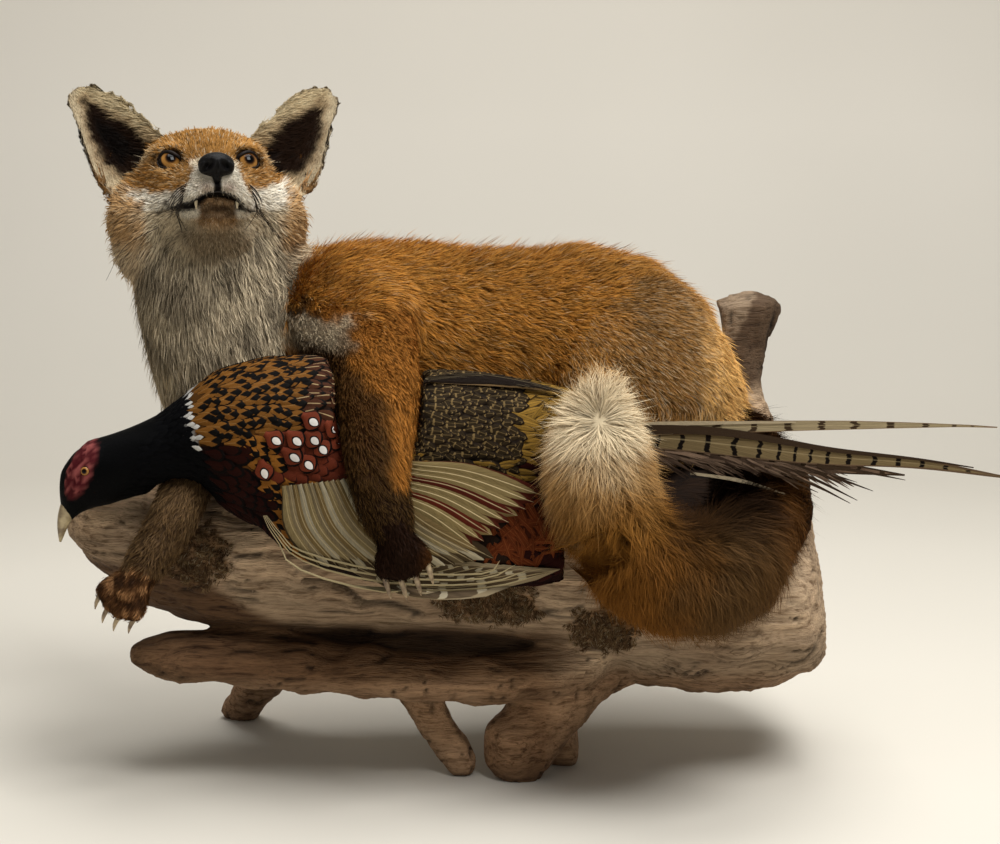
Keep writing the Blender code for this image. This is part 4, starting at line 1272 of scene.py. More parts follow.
    @staticmethod
    def label(points: Array) -> Array:
        """The part that each place lies nearest to."""
        gaps = np.full((len(points), len(Part)), 1.0)
        shapes = {part: joined([node_shape(node) for node in nodes]) for part,
            nodes in PART_NODES.items()}
        shapes[Part.EARS] = joined([ear.shell(9, 11) for ear in EARS])
        for paw in PAWS:
            shapes[paw.part] = joined(paw.flesh())
        for part, shape in shapes.items():
            low, high = shape.points.min(axis=0) - 0.02, shape.points.max(axis=0) + 0.02
            near = np.flatnonzero(((points > low) & (points < high)).all(axis=1))
            find = shape.tree().find_nearest
            gaps[near, part.value] = [find(Vector(point))[3] for point in points[near]]
        labels = gaps.argmin(axis=1)
        top = points[:, 2] + 0.005 * waves(points, 0.02, 29) > 0.34
        labels[(labels == Part.FORELEG_LEFT.value) & top] = Part.TRUNK.value
        return labels

    def comb(self, edges: Array) -> Array:
        """The lie of the hair: one direction along the surface at each point."""
        points = self.shape.points
        x, y, z = points.T
        flow = np.zeros_like(points)
        nose = HEAD.world((0, 80, -22))[0]
        for part in Part:
            here = self.labels == part.value
            if part is Part.HEAD:
                flow[here] = unit(points[here] - nose)
            elif part is Part.EARS:
                for ear in EARS:
                    side = here & (HEAD.local(points)[:, 0] * ear.side > 0)
                    _, along, across, _, _ = ear.axes()
                    spot = Spot(points, self.labels, self.normals)
                    _, out, facing = ear.read(spot)
                    sweep = across * np.sign(across[0] * ear.side)
                    front = (facing * ease(0.55, -0.2, out))[:, None]
                    rows = along * (1 - 0.35 * front) + sweep * (0.95 * front)
                    flow[side] = (rows @ HEAD.rows)[side]
            elif part is Part.NECK:
                flow[here] = (0.18, -0.05, -1.0)
                flow[here, 0] += (1.2 * ease(-0.01, 0.06, y))[here]
            elif part is Part.TRUNK:
                flow[here] = np.c_[np.ones(len(x)), 0 * x, -0.48 - 0.4 * ease(0.06, 0.16, x)][here]
                shoulder = ease(-0.09, -0.15, x)
                lift = ease(0.35, 0.385, z)
                flow[here] += (shoulder[:, None] * (-0.1, 0.0, -0.1)
                    + lift[:, None] * (0, 0, 0.45))[here]
            elif part in (Part.HINDLEG_LEFT, Part.HINDLEG_RIGHT):
                flow[here] = (0.75, 0.0, -0.75)
                shank = here & (z < 0.262) & (x < 0.125)
                flow[shank] = (-1.0, 0.0, -0.1)
            elif part in ROUTES:
                route = ROUTES[part]
                index = route.nearest(points[here])
                flow[here] = route.ahead[index] + (0.35 * (part is Part.FORELEG_LEFT), 0, 0)
                if part is Part.TAIL:
                    swirl = np.c_[waves(points[here], 0.008, 33), waves(points[here], 0.008, 34),
                        waves(points[here], 0.008, 35)]
                    fan = unit(points[here] - TAIL_CROWN + 0.005 * swirl)
                    share = 0.8 * ease(0.26, 0.48, route.share[index])
                    share = np.maximum(share, ease(0.66, 0.8, route.share[index]))
                    flow[here] = blend(unit(flow[here]), fan, share)
            else:
                paw = next(paw for paw in PAWS if paw.part is part)
                flow[here] = paw.axes()[0]
        flow = unit(flow)
        for _ in range(16):
            flow = unit(spread(edges, flow, 1))
            flow = unit(flow - self.normals * (flow * self.normals).sum(axis=1)[:, None])
        return flow

    @staticmethod
    def paint(spot: Spot) -> Array:
        """The colour of the coat at these places."""
        return Markings().colour(spot)

    def build(self) -> bpy.types.Object:
        """The skin as a piece that stands for all the nodes of flesh."""
        nodes = [node for names in PART_NODES.values() for node in names]
        nodes += ["ear_left", "ear_right"] + [paw.part.name.lower() for paw in PAWS]
        finish = CoatFinish("hide", strands=0.8).build()
        # the hide is the coat's colour darkened to 0.72: painted shade under the hair
        piece = new_piece("skin", self.shape, finish, "fur", colours={"coat": self.colours * 0.72})
        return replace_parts(piece, *nodes)


# ---------------------------------------------------------------- the coat

PATCH = 0.0015  # half the side of one tuft's or feather's patch of the bake map
TAIL_CUT = 0.52  # the share of the tail's length where its two pieces meet
MIDDLE_Y = 0.033 - MODEL_MIDDLE[1]  # the trunk's near and far pieces meet here


@dataclass
class Hair:
    """What the tufts of one stretch of coat are like: sizes in metres, one value or one for each root."""

    length: Array
    width: Array
    rise: Array
    clump: float = 0.35
    clump_size: float = 0.011
    roll: float = 0.5
    joints: int = 3
    arch: float = 1.7
    stray: float = 0.08
    dark: Array | float = 0.15
    pale: Array | float = 0.1
    root_shade: float = 0.55
    tip_shade: float = 1.12
    tip_colour: Array | None = None
    tip_share: Array | float = 0.0
    jitter: float = 0.12


@dataclass
class Coat:
    """One piece of coat: thin tapered tufts that follow the skin."""

    name: str
    skin: "Skin | Bark"
    faces: Array
    count: int
    unwrap: Rule
    slot: str = "fur"
    seed: int = 0

    def roots(self, weights: Array) -> tuple[Array, Array]:
        """Places on the chosen faces, and the number of the skin's point that is near each."""
        draw = np.random.default_rng(self.seed)
        corners = self.skin.shape.points[self.skin.shape.faces[self.faces]]
        area = np.linalg.norm(np.cross(corners[:, 1] - corners[:, 0], corners[:, 2] - corners[:, 0]),
            axis=1)
        chance = area * weights
        picked = draw.choice(len(self.faces), self.count, p=chance / chance.sum())
        shares = draw.dirichlet((1, 1, 1), self.count)
        places = (corners[picked] * shares[:, :, None]).sum(axis=1)
        points = self.skin.shape.faces[self.faces[picked], shares.argmax(axis=1)]
        return places, points

    def build(self, style: Callable[["Spot", Array], "Hair"],
            weight: Callable[["Spot"], Array] | None = None, avoid: BVHTree | None = None) -> None:
        """Grows the tufts.

        Args:
            style: Called with the roots' Spot and their skin points, gives their Hair.
            weight: Called with a Spot of face middles, gives how thickly they are covered.
            avoid: Surfaces that hair keeps out of.
        """
        skin, shape = self.skin, self.skin.shape
        first = shape.faces[self.faces, 0]
        middles = Spot(shape.points[first], skin.labels[first], skin.normals[first])
        weights = np.ones(len(self.faces)) if weight is None else weight(middles)
        places, near = self.roots(weights)
        if avoid is not None:
            free = np.array([avoid.find_nearest(Vector(place), 0.0022)[0] is None for place in places])
            places, near = places[free], near[free]
        spot = Spot(places, skin.labels[near], skin.normals[near])
        hair = style(spot, near)
        draw = np.random.default_rng(self.seed + 1)
        size = len(places)
        length = hair.length * draw.uniform(0.75, 1.2, size)
        width = hair.width * draw.uniform(0.7, 1.3, size)
        rise = hair.rise * draw.uniform(0.45, 1.12, size)
        rise = np.where(draw.random(size) < hair.stray, rise * 1.5 + 0.001, rise)
        rows, place, point = [], places.copy(), near.copy()
        side_push = hair.clump * (waves(places, hair.clump_size, self.seed + 5)
            + 0.6 * waves(places, hair.clump_size * 0.45, self.seed + 6))
        side_push = side_push + draw.normal(0, hair.jitter, size)
        steps = hair.joints - 1
        flow = skin.flow[point]
        for k in range(steps):
            normal_here = skin.normals[point]
            flow = unit(flow * 0.35 + skin.flow[point] * 0.65)
            flow = unit(flow - normal_here * (flow * normal_here).sum(axis=1)[:, None])
            side = np.cross(normal_here, flow)
            rows.append((place.copy(), normal_here, side))
            bend = side_push * (0.35 + 0.65 * k / max(steps - 1, 1))
            step = flow + side * bend[:, None]
            place = place + unit(step) * (length / steps)[:, None]
            place, point = self.snapped(place)
        normal_here = skin.normals[point]
        rows.append((place, normal_here, np.cross(normal_here, flow)))
        roll = draw.normal(0, hair.roll, size)
        points, colours = [], []
        base = skin.paint(Spot(places, spot.labels, spot.normals))
        base = base * draw.uniform(0.86, 1.12, size)[:, None]
        tone = draw.random(size)
        base = np.where((tone < hair.dark)[:, None], base * 0.42 + np.array(HAIR.guard) * 0.1, base)
        pale = (tone > 1 - hair.pale)[:, None]
        base = np.where(pale, base * 0.45 + np.array(HAIR.cream) * 0.5, base)
        tip = base if hair.tip_colour is None else blend(base, hair.tip_colour,
            hair.tip_share * np.ones(size))
        for k, (middle, up, side) in enumerate(rows):
            share = k / steps
            lift = rise * (1 - (1 - share) ** hair.arch)
            middle = middle + up * (lift - 0.0006 * (k == 0))[:, None]
            shade = hair.root_shade + (hair.tip_shade - hair.root_shade) * share ** 0.7
            colour = blend(base, tip, np.full(size, ease(0.4, 1.0, np.array(share)))) * shade
            if k < steps:
                half = width * (0.5, 0.5, 0.42)[min(k, 2)] * (1.0 if k else 0.8)
                across = side * np.cos(roll)[:, None] + up * np.sin(roll)[:, None]
                points += [middle - across * half[:, None], middle + across * half[:, None]]
                colours += [colour, colour]
            else:
                points.append(middle)
                colours.append(colour)
        corners = 2 * steps + 1
        stacked = np.stack(points, axis=1).reshape(-1, 3)
        painted = np.clip(np.stack(colours, axis=1), 0, 1).reshape(-1, 3)
        start = np.arange(size)[:, None] * corners
        triangles = []
        for k in range(steps - 1):
            a = 2 * k
            triangles += [start + (a, a + 1, a + 3), start + (a, a + 3, a + 2)]
        triangles.append(start + (2 * steps - 2, 2 * steps - 1, 2 * steps))
        faces = np.stack(triangles, axis=1).reshape(-1, 3)
        middle = self.unwrap(places)
        offsets = [(s * PATCH, -PATCH + 2 * PATCH * k / steps) for k in range(steps) for s in (-1, 1)]
        offsets.append((0.0, PATCH))
        patch = (0.002 + 0.996 * middle[:, None, :] + np.array(offsets)[None]).reshape(-1, 2)
        finish = CoatFinish(self.name + "_hair").build()
        new_piece(self.name, Shape(stacked, faces), finish, self.slot, colours={"coat": painted},
            places=np.clip(patch, 0, 1))

    def snapped(self, places: Array) -> tuple[Array, Array]:
        """Each place brought onto the skin, and the skin's point beside it."""
        find, faces = self.skin.tree.find_nearest, self.skin.shape.faces
        found = [find(place) for place in places.tolist()]
        moved = np.array([hit[0] for hit in found])
        return moved, faces[np.array([hit[2] for hit in found]), 0]


@dataclass
class Pelt:
    """All the coat pieces, each over its own stretch of skin."""

    skin: Skin
    avoid: BVHTree

    def faces(self, *parts: Part, rule: Rule | None = None, rest: bool = False) -> Array:
        """The skin's faces on some parts, and where a rule holds of their places, or the rest."""
        first = self.skin.shape.faces[:, 0]
        keep = np.isin(self.skin.labels[first], [part.value for part in parts])
        if rule is not None:
            keep &= rule(self.skin.shape.points[first]) != rest
        return np.flatnonzero(keep)

    @staticmethod
    def near_side(points: Array) -> Array:
        """Which places are on the side of the bird."""
        return points[:, 1] < MIDDLE_Y

    @staticmethod
    def tail_base(points: Array) -> Array:
        """Which places are on the tail's first piece."""
        tail = ROUTES[Part.TAIL]
        return tail.share[tail.nearest(points)] < TAIL_CUT

    def head_hair(self, spot: Spot, near: Array) -> Hair:
        """Shortest at the nose, longer to the crown, longest on the cheeks."""
        s, f, u = np.abs(spot.s), spot.f, spot.u
        length = 0.002 + 0.0036 * ease(46, 8, f) + 0.005 * ease(8, -40, f)
        cheek = ease(12, -24, f) * ease(22, 42, s) * ease(22, 2, u)
        length = length + 0.008 * cheek + 0.006 * ease(-44, -60, u) * ease(30, 5, f)
        width = 0.00031 + 0.00024 * ease(40, 0, f) + 0.0001 * cheek
        collar = Markings.collar(spot)
        length = length + 0.0012 * collar
        rise = self.skin.depth[near] * 0.8 + 0.0003 + 0.0024 * collar
        return Hair(length, width, rise, clump=0.18, clump_size=0.009, dark=0.16, pale=0.1,
            root_shade=0.56, tip_shade=1.22)

    def ear_hair(self, spot: Spot, near: Array) -> Hair:
        """Short down on the backs, longer straw hair on the fronts."""
        length = np.full(len(near), 0.0034)
        rise = np.full(len(near), 0.0008)
        for ear in EARS:
            t, out, facing = ear.read(spot)
            front = facing & (spot.s * ear.side > 0)
            straw = front * ease(0.5, -0.3, out) * ease(0.95, 0.6, t)
            ruff = (spot.s * ear.side > 0) * ~facing * ease(0.3, 0.8, out) * ease(0.75, 0.5, t)
            length = length + 0.006 * straw + 0.0035 * ruff
            rise = np.maximum(rise, 0.0026 * ruff + 0.0022 * straw)
        return Hair(length, np.full(len(near), 0.00036), rise, clump=0.15, clump_size=0.008, dark=0.06,
            pale=0.0, root_shade=0.7, tip_shade=1.15, jitter=0.2)

    def long_hair(self, low: float, high: float, width: float = 0.0009, dark: float = 0.16,
            pale: float = 0.12, clump: float = 0.16, clump_size: float = 0.013, joints: int = 3,
            arch: float = 1.5, tip: float = 0.0, root: float = 0.46, jitter: float = 0.12) -> Callable[
            [Spot, Array], Hair]:
        """A rule for the longer hair of the body, between two lengths."""
        def style(spot: Spot, near: Array) -> Hair:
            """The hair at these roots."""
            share = 0.5 + 0.5 * np.clip(spot.wave(0.05, 21), -1, 1)
            length = low + (high - low) * share
            rise = self.skin.depth[near] * (1 + 0.5 * ease(0.4, 0.9, spot.normals[:, 2]))
            return Hair(length, np.full(len(near), width), rise, clump=clump, clump_size=clump_size,
                dark=dark, pale=pale, joints=joints, arch=arch, root_shade=root, tip_shade=1.22,
                tip_colour=np.array(linear(218, 168, 92)), tip_share=tip * self.skin.depth[near]
                / 0.006, jitter=jitter)
        return style

    def paw_hair(self, spot: Spot, near: Array) -> Hair:
        """Short and close."""
        count = len(near)
        return Hair(np.full(count, 0.0048), np.full(count, 0.0005), np.full(count, 0.0014), clump=0.2,
            clump_size=0.006, dark=0.15, pale=0.0)

    def grow(self, name: str, seed: int, count: int, faces: Array, unwrap: Rule,
            style: Callable[[Spot, Array], Hair], slot: str = "fur", free: bool = False,
            weight: Callable[[Spot], Array] | None = None) -> None:
        """One piece of coat, kept out of the bird and the wood unless it is free of them."""
        coat = Coat("coat_" + name, self.skin, faces, count, unwrap, slot, seed)
        coat.build(style, weight, None if free else self.avoid)

    def build(self) -> None:
        """Grows every piece."""
        long, faces, near, base = self.long_hair, self.faces, self.near_side, self.tail_base
        face = Route(HEAD.world([(0, -80, -22), (0, -20, -20), (0, 30, -26), (0, 80, -26)]))
        trunk, tail = ROUTES[Part.TRUNK].unwrap, ROUTES[Part.TAIL].unwrap
        self.grow("head", 11, 61000, faces(Part.HEAD), face.unwrap, self.head_hair,
            weight=self.head_weight)
        self.grow("ears", 21, 22000, faces(Part.EARS), self.ear_places, self.ear_hair, "fur_dark", True)
        self.grow("neck", 31, 56000, faces(Part.NECK), ROUTES[Part.NECK].unwrap,
            long(0.013, 0.019, 0.0005, dark=0.36, pale=0.22, root=0.38), "fur_pale")
        self.grow("trunk_near", 41, 63000, faces(Part.TRUNK, rule=near), trunk,
            long(0.009, 0.014, 0.00046, dark=0.3, pale=0.05, tip=0.4, clump=0.26, root=0.34,
            jitter=0.18))
        self.grow("trunk_far", 51, 32000, faces(Part.TRUNK, rule=near, rest=True), trunk,
            long(0.011, 0.015, 0.0007, pale=0.05, tip=0.34))
        for name, seed, count, part, low, high, width in (("hind_left", 61, 50000, Part.HINDLEG_LEFT,
                0.007, 0.01, 0.00042), ("hind_right", 71, 18000, Part.HINDLEG_RIGHT, 0.009, 0.013,
                0.0007)):
            self.grow(name, seed, count, faces(part), ROUTES[part].unwrap,
                long(low, high, width, dark=0.24, pale=0.2, tip=0.45))
        self.grow("forelegs", 81, 41000, faces(Part.FORELEG_LEFT, Part.FORELEG_RIGHT), self.leg_places,
            long(0.006, 0.01, 0.00042, dark=0.2, pale=0.0, tip=0.22, jitter=0.2))
        self.grow("paws", 91, 18000, faces(*(paw.part for paw in PAWS)), self.paw_places, self.paw_hair,
            "fur_dark")
        self.grow("tail_root", 101, 46000, faces(Part.TAIL, rule=base), tail,
            long(0.016, 0.023, 0.00044, dark=0.12, pale=0.0, clump=0.12, arch=1.2, root=0.62,
            jitter=0.34), free=True)
        self.grow("tail_tip", 111, 60000, faces(Part.TAIL, rule=base, rest=True), tail,
            long(0.014, 0.022, 0.00038, dark=0.08, pale=0.0, clump=0.12, arch=1.1, root=0.72,
            jitter=0.4), "fur_pale", True)

    @staticmethod
    def head_weight(spot: Spot) -> Array:
        """Thicker cover on the face, none in the mouth, on the nose and in the eyes."""
        weight = 1.0 + 2.4 * ease(-30, 20, spot.f)
        bare = MOUTH.gap(spot.s, spot.b, spot.f, 1.2)
        bare = np.maximum(bare, MOUTH.crease(spot.s, spot.b, spot.f) * 0.9)
        for side in (1, -1):
            gap = np.hypot((spot.s - side * EYE_SIDE) / 1.18, spot.u - 0.5)
            bare = np.where((gap < 8.8) & (spot.f > 2), 1.0, bare)
        nose = np.hypot(spot.s / 11.5, (spot.b - 1.0) / 8.5)
        bare = np.where((nose < 1) & (spot.f > 55), 1.0, bare)
        groove = (np.abs(spot.s) < 2.6) * (spot.b < -4) * (spot.b > -18) * (spot.f > 48)
        bare = np.maximum(bare, Markings.in_ear(spot) * 0.9)
        return weight * (1 - np.clip(np.maximum(bare, groove), 0, 1))

    @staticmethod
    def ear_places(points: Array) -> Array:
        """Each ear's hair on its own half of the bake map."""
        local = HEAD.local(points)
        left = local[:, 0] > 0
        across = np.clip((np.abs(local[:, 0]) - 20) / 90, 0, 1)
        front = np.clip((local[:, 1] + 75) / 60, 0, 1)
        return np.c_[np.where(left, 0.5, 0.0) + 0.24 * across + 0.25 * (front > 0.5),
            np.clip((local[:, 2] + 5) / 100, 0, 1)]

    @staticmethod
    def leg_places(points: Array) -> Array:
        """Each fore leg on its own half of the bake map."""
        left = ROUTES[Part.FORELEG_LEFT].unwrap(points) * (0.49, 1)
        right = np.array((0.51, 0)) + ROUTES[Part.FORELEG_RIGHT].unwrap(points) * (1 - 0.51, 1)
        return np.where((points[:, 0] > -0.165 - MODEL_MIDDLE[0])[:, None], left, right)

    @staticmethod
    def paw_places(points: Array) -> Array:
        """Each paw on its own quarter of the bake map."""
        found = np.zeros((len(points), 2))
        centres = np.array([(paw.wrist + paw.tip) / 2 for paw in PAWS])
        nearest = ((points[:, None] - centres[None]) ** 2).sum(axis=2).argmin(axis=1)
        for k, paw in enumerate(PAWS):
            here = nearest == k
            low = np.array((0.5 * (k % 2), 0.5 * (k // 2)))
            route = Route(np.array([paw.wrist - 0.3 * (paw.tip - paw.wrist), paw.tip,
                paw.tip + 0.4 * (paw.tip - paw.wrist)]))
            if here.any():
                found[here] = low + 0.48 * route.unwrap(points[here])
        return found


# ---------------------------------------------------------------- eyes, nose, teeth and claws

@dataclass(frozen=True)
class EyeFinish:
    """A glass eye: dark pupil, amber iris and a dark rim, read from the angle off its gaze, with painted
    shade from the lid on one side.
    """

    name: str = "amber_eye"

    def build(self) -> Material:
        """The material."""
        nodes = Nodes(self.name, Roughness=0.02, Specular_IOR_Level=0.14)
        off, _, high = nodes.parts(nodes.attribute("gaze"))
        spokes = nodes.noise(14.0, 3.0, 0.5, nodes.attribute("gaze"))
        share = nodes.plus(off, nodes.times(spokes, 0.05))
        iris = nodes.ramp(share, [(0.22, linear(4, 3, 3)), (0.29, linear(52, 30, 14)),
            (0.4, linear(154, 108, 52)), (0.55, linear(164, 116, 56)), (0.61, linear(70, 44, 20)),
            (0.66, linear(12, 8, 6)),])
        # painted shade from the upper lid: darker towards the side that the eye's shade vector points to
        height = nodes.plus(nodes.times(high, 0.5), 0.5)
        lid_shadow = nodes.ramp(height, [(0.44, (1, 1, 1)), (0.8, (0.2, 0.15, 0.11))])
        nodes.colour(nodes.mix(1.0, iris, lid_shadow, "MULTIPLY"))
        return nodes.material


def glass_eye(name: str, centre: Array, radius: float, gaze: Array, shade: Array, material: Material,
        sides: int = 48, rows: int = 40) -> bpy.types.Object:
    """A glass eye that looks along its gaze, with painted lid shade on the side that shade points to."""
    across = unit(np.cross(gaze, (0, 0, 1)))
    axes = np.array((across, np.cross(gaze, across), gaze))
    shape = ball(centre, np.full(3, radius), axes, sides, rows)
    local = (shape.points - centre) @ axes.T / radius
    off = np.arccos(np.clip(local[:, 2], -1, 1)) / (pi / 2)
    turn = np.arctan2(local[:, 1], local[:, 0]) / (2 * pi) + 0.5
    high = (shape.points - centre) @ shade / radius
    return new_piece(name, shape, material, "glass_eye", vectors={"gaze": np.c_[off, turn, high]})


@dataclass(frozen=True)
class GlossFinish:
    """A plain horny or wet surface with fine grain."""

    name: str
    low: tuple
    high: tuple
    roughness: float
    grain: float = 300.0
    relief: float = 0.0002
    strength: float = 0.4
    specular: float = 0.5

    def build(self) -> Material:
        """The material."""
        nodes = Nodes(self.name, Roughness=self.roughness, Specular_IOR_Level=self.specular)
        cloud = nodes.noise(self.grain)
        nodes.colour(nodes.ramp(cloud, [(0.35, self.low), (0.65, self.high)]))
        nodes.bump(cloud, self.relief, self.strength)
        return nodes.material


@dataclass
class Face:
    """Eyes with their lids, nose, lips, teeth and whiskers."""

    skin: Skin

    def eyes(self) -> None:
        """Two glass eyes that look ahead."""
        glass = EyeFinish().build()
        for side, name, look, lean in ((1, "left", (0.26, 1.0, 0.1), 0.25),
                (-1, "right", (0.06, 1.0, 0.2), 0.55)):
            centre = HEAD.world((side * EYE_SIDE, EYE_FORWARD, 0))[0]
            gaze = unit(np.array(look) @ HEAD.rows)
            # the painted shade from the lids falls towards the head's top, turned towards its side axis
            # by lean
            shade = HEAD.rows[2] + HEAD.rows[0] * lean
            piece = glass_eye("eye_glass_" + name, centre, EYE_RADIUS / 1000, gaze, shade, glass)
            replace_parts(piece, "eye_" + name)

    def lids(self) -> None:
        """The dark rims round the eyes, drawn to a point at the inner corners."""
        finish = GlossFinish("lid_rim", linear(12, 8, 6), linear(34, 23, 16), 0.6,
            specular=0.15).build()
        shapes = []
        for side in (1, -1):
            centre = np.array((side * EYE_SIDE, EYE_FORWARD, 0.0))
            turn = np.linspace(0, 2 * pi, 49)[:-1]
            out = np.cos(turn) * 8.2
            high = np.sin(turn) * np.where(np.sin(turn) > 0, 6.3, 5.6)
            tilt = radians(17)
            inner = np.clip(-np.cos(turn), 0, 1) ** 3
            a = out * cos(tilt) - high * sin(tilt)
            b = out * sin(tilt) + high * cos(tilt)
            a = a - inner * 3.2
            b = b - inner * 1.2
            gaze = unit(np.array((side * 0.4, 1.0, 0.05)))
            across = unit(np.cross(gaze, (0, 0, 1))) * side
            over = np.cross(across, gaze) * side
            over = over if over[2] > 0 else -over
            flat = np.hypot(a, b)
            depth = np.sqrt(np.clip((EYE_RADIUS + 0.5) ** 2 - flat ** 2, 2.0, None))
            ring = (centre + np.outer(a, across) + np.outer(b, over) + np.outer(depth, gaze))
            ring = np.vstack([ring, ring[:1]])
            radii = 0.0007 + 0.0006 * np.r_[inner, inner[:1]]
            radii = radii + 0.00062 * np.clip(np.sin(np.r_[turn, turn[:1]]), 0, 1)
            shapes.append(tube(HEAD.world(ring), radii, 10))
        new_piece("eye_rims", joined(shapes), finish, "nose_skin")

    def nose(self) -> None:
        """The wet nose with comma nostrils, drawn down into the lip's groove."""
        parts = [ball(HEAD.leaning((0, 69.0, -22.7))[0], np.array((12.0, 8.4, 8.2)) / 1000, HEAD.rows)]
        for side in (1, -1):
            parts.append(ball(HEAD.leaning((side * 6.0, 69.4, -24.6))[0],
                np.array((5.8, 7.2, 5.0)) / 1000, HEAD.rows))
        parts.append(ball(HEAD.leaning((0, 67.0, -28.8))[0], np.array((3.3, 5.6, 5.4)) / 1000,
            HEAD.rows))
        shape = remeshed(joined(parts), 0.0005)
        shape.points = spread(shape.edges(), shape.points, 4)
        s, f, u = HEAD.local(shape.points).T
        s = s - HEAD.lean(f, u)
        away = np.abs(s)
        nostril = np.exp(-((away - 6.0) / 2.7) ** 2 - ((u + 25.4 + 0.35 * (away - 6.0)) / 2.1) ** 2)
        slit = np.exp(-((away - 9.6) / 2.6) ** 2 - ((u + 27.4) / 1.0) ** 2)
        groove = np.exp(-(s / 0.7) ** 2) * ease(-22, -26, u)
        push = (nostril * 5.0 + slit * 2.4 + groove * 1.2) * ease(66, 72, f)
        shape.points = shape.points - np.outer(push / 1000, HEAD.rows[1])
        finish = GlossFinish("nose_leather", linear(5, 4, 4), linear(13, 11, 10), 0.48, grain=900.0,
            relief=0.0004, strength=0.8, specular=0.14).build()
        piece = new_piece("nose", shape, finish, "nose_skin")
        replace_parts(piece, "nose_pad")

    def lips(self) -> None:
        """The black edge of the upper lip and the dark lining behind it."""
        finish = GlossFinish("lip_skin", linear(12, 8, 7), linear(30, 20, 17), 0.45,
            grain=500.0).build()
        across = np.linspace(-32, 32, 65)
        found = np.array([self.ahead(side, height) for side, height in zip(across, MOUTH.lip(across))])
        route = spread(np.c_[np.arange(64), np.arange(1, 65)], found, 3)
        route = route + HEAD.rows[1] * 0.0006
        radii = np.interp(np.abs(across), (0, 14, 26, 32), (0.0006, 0.0008, 0.00062, 0.0003))
        new_piece("lips", tube(route, radii, 8), finish, "nose_skin")

    def ahead(self, side: float, height: float) -> Array:
        """The place on the face's skin that shows at a distance from the middle and a height."""
        back = -unit(HEAD.rows[1] - SIGHT * HEAD.rows[2])
        start = HEAD.leaning((side, 90.0, height - SIGHT * 90.0))[0]
        hit = self.skin.tree.ray_cast(Vector(start), Vector(back), 0.2)
        return start if hit[0] is None else np.array(hit[0])

    def whiskers(self) -> None:
        """Thin dark whiskers that sweep back over the cheeks, and one that stands free."""
        draw = np.random.default_rng(211)
        finish = GlossFinish("whisker_horn", linear(16, 11, 8), linear(30, 21, 15), 0.5,
            specular=0.2).build()
        shapes = []
        for side in (1, -1):
            for k in range(12):
                root = self.ahead(side * (17 + 0.7 * k), -10 - 1.4 * k)
                sweep = unit(np.array((side * 0.62, -0.72, -0.16 - 0.05 * k)) @ HEAD.rows)
                run = draw.uniform(0.028, 0.048)
                line = []
                for share in np.linspace(0, 1, 9):
                    hit = self.skin.tree.find_nearest(Vector(root + sweep * run * share))
                    line.append(np.array(hit[0]) + np.array(hit[1]) * (0.001 + 0.0072 * share))
                line = spread(np.c_[np.arange(8), np.arange(1, 9)], np.array(line), 2)
                shapes.append(tube(line, np.linspace(0.00034, 0.00012, 9), 5))
        root = HEAD.leaning((-38, 22, -50))[0]
        free = smooth_curve(np.array([root, root + (-0.022, -0.006, -0.013),
            root + (-0.036, -0.004, -0.036)]), 14)
        shapes.append(tube(free, np.linspace(0.00026, 0.0001, 14), 5))
        new_piece("whiskers", joined(shapes), finish, "fur_dark")

    def teeth(self) -> None:
        """The two upper canines."""
        finish = GlossFinish("tooth_ivory", linear(196, 178, 142), linear(226, 212, 180), 0.28,
            grain=160.0, relief=0.0001).build()
        for side, name in ((1, "left"), (-1, "right")):
            top = np.array((12.4 * side - 0.6, 53.0, -36.0))
            foot = top + (1.1 * side, -2.0, -11.0)
            middle = (top + foot) / 2 + (0.5 * side, 1.0, 0)
            route = smooth_curve(HEAD.leaning([top, middle, foot]), 9)
            radii = np.array((1.6, 1.6, 1.55, 1.47, 1.36, 1.2, 1.0, 0.75, 0.4)) / 1000
            piece = new_piece("tooth_" + name, tube(route, radii, 14), finish, "tooth")
            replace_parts(piece, "canine_" + name)

    def claws(self) -> None:
        """Horn claws on all the toes."""
        finish = GlossFinish("claw_horn", linear(96, 74, 52), linear(190, 168, 132), 0.35, grain=120.0,
            relief=0.0002).build()
        shapes = [claw for paw in PAWS for claw in paw.claws()]
        new_piece("claws", joined(shapes), finish, "tooth")

    def build(self) -> None:
        """Every piece of the face, and the claws."""
        self.eyes()
        self.lids()
        self.nose()
        self.lips()
        self.whiskers()
        self.teeth()
        self.claws()


# ---------------------------------------------------------------- the pheasant

@dataclass(frozen=True)
class Plume:
    """One kind of feather: its size in metres, its colours and its pattern."""

    length: float
    width: float
    gap: float
    ground: tuple
    mark: tuple
    rim: tuple
    edge: float = 0.0
    streak: float = 0.0
    bars: float = 0.0
    drop: float = 0.0
    notch: float = 0.0
    shaft: float = 0.0
    lift: float = 0.0012
    round_tip: float = 0.5


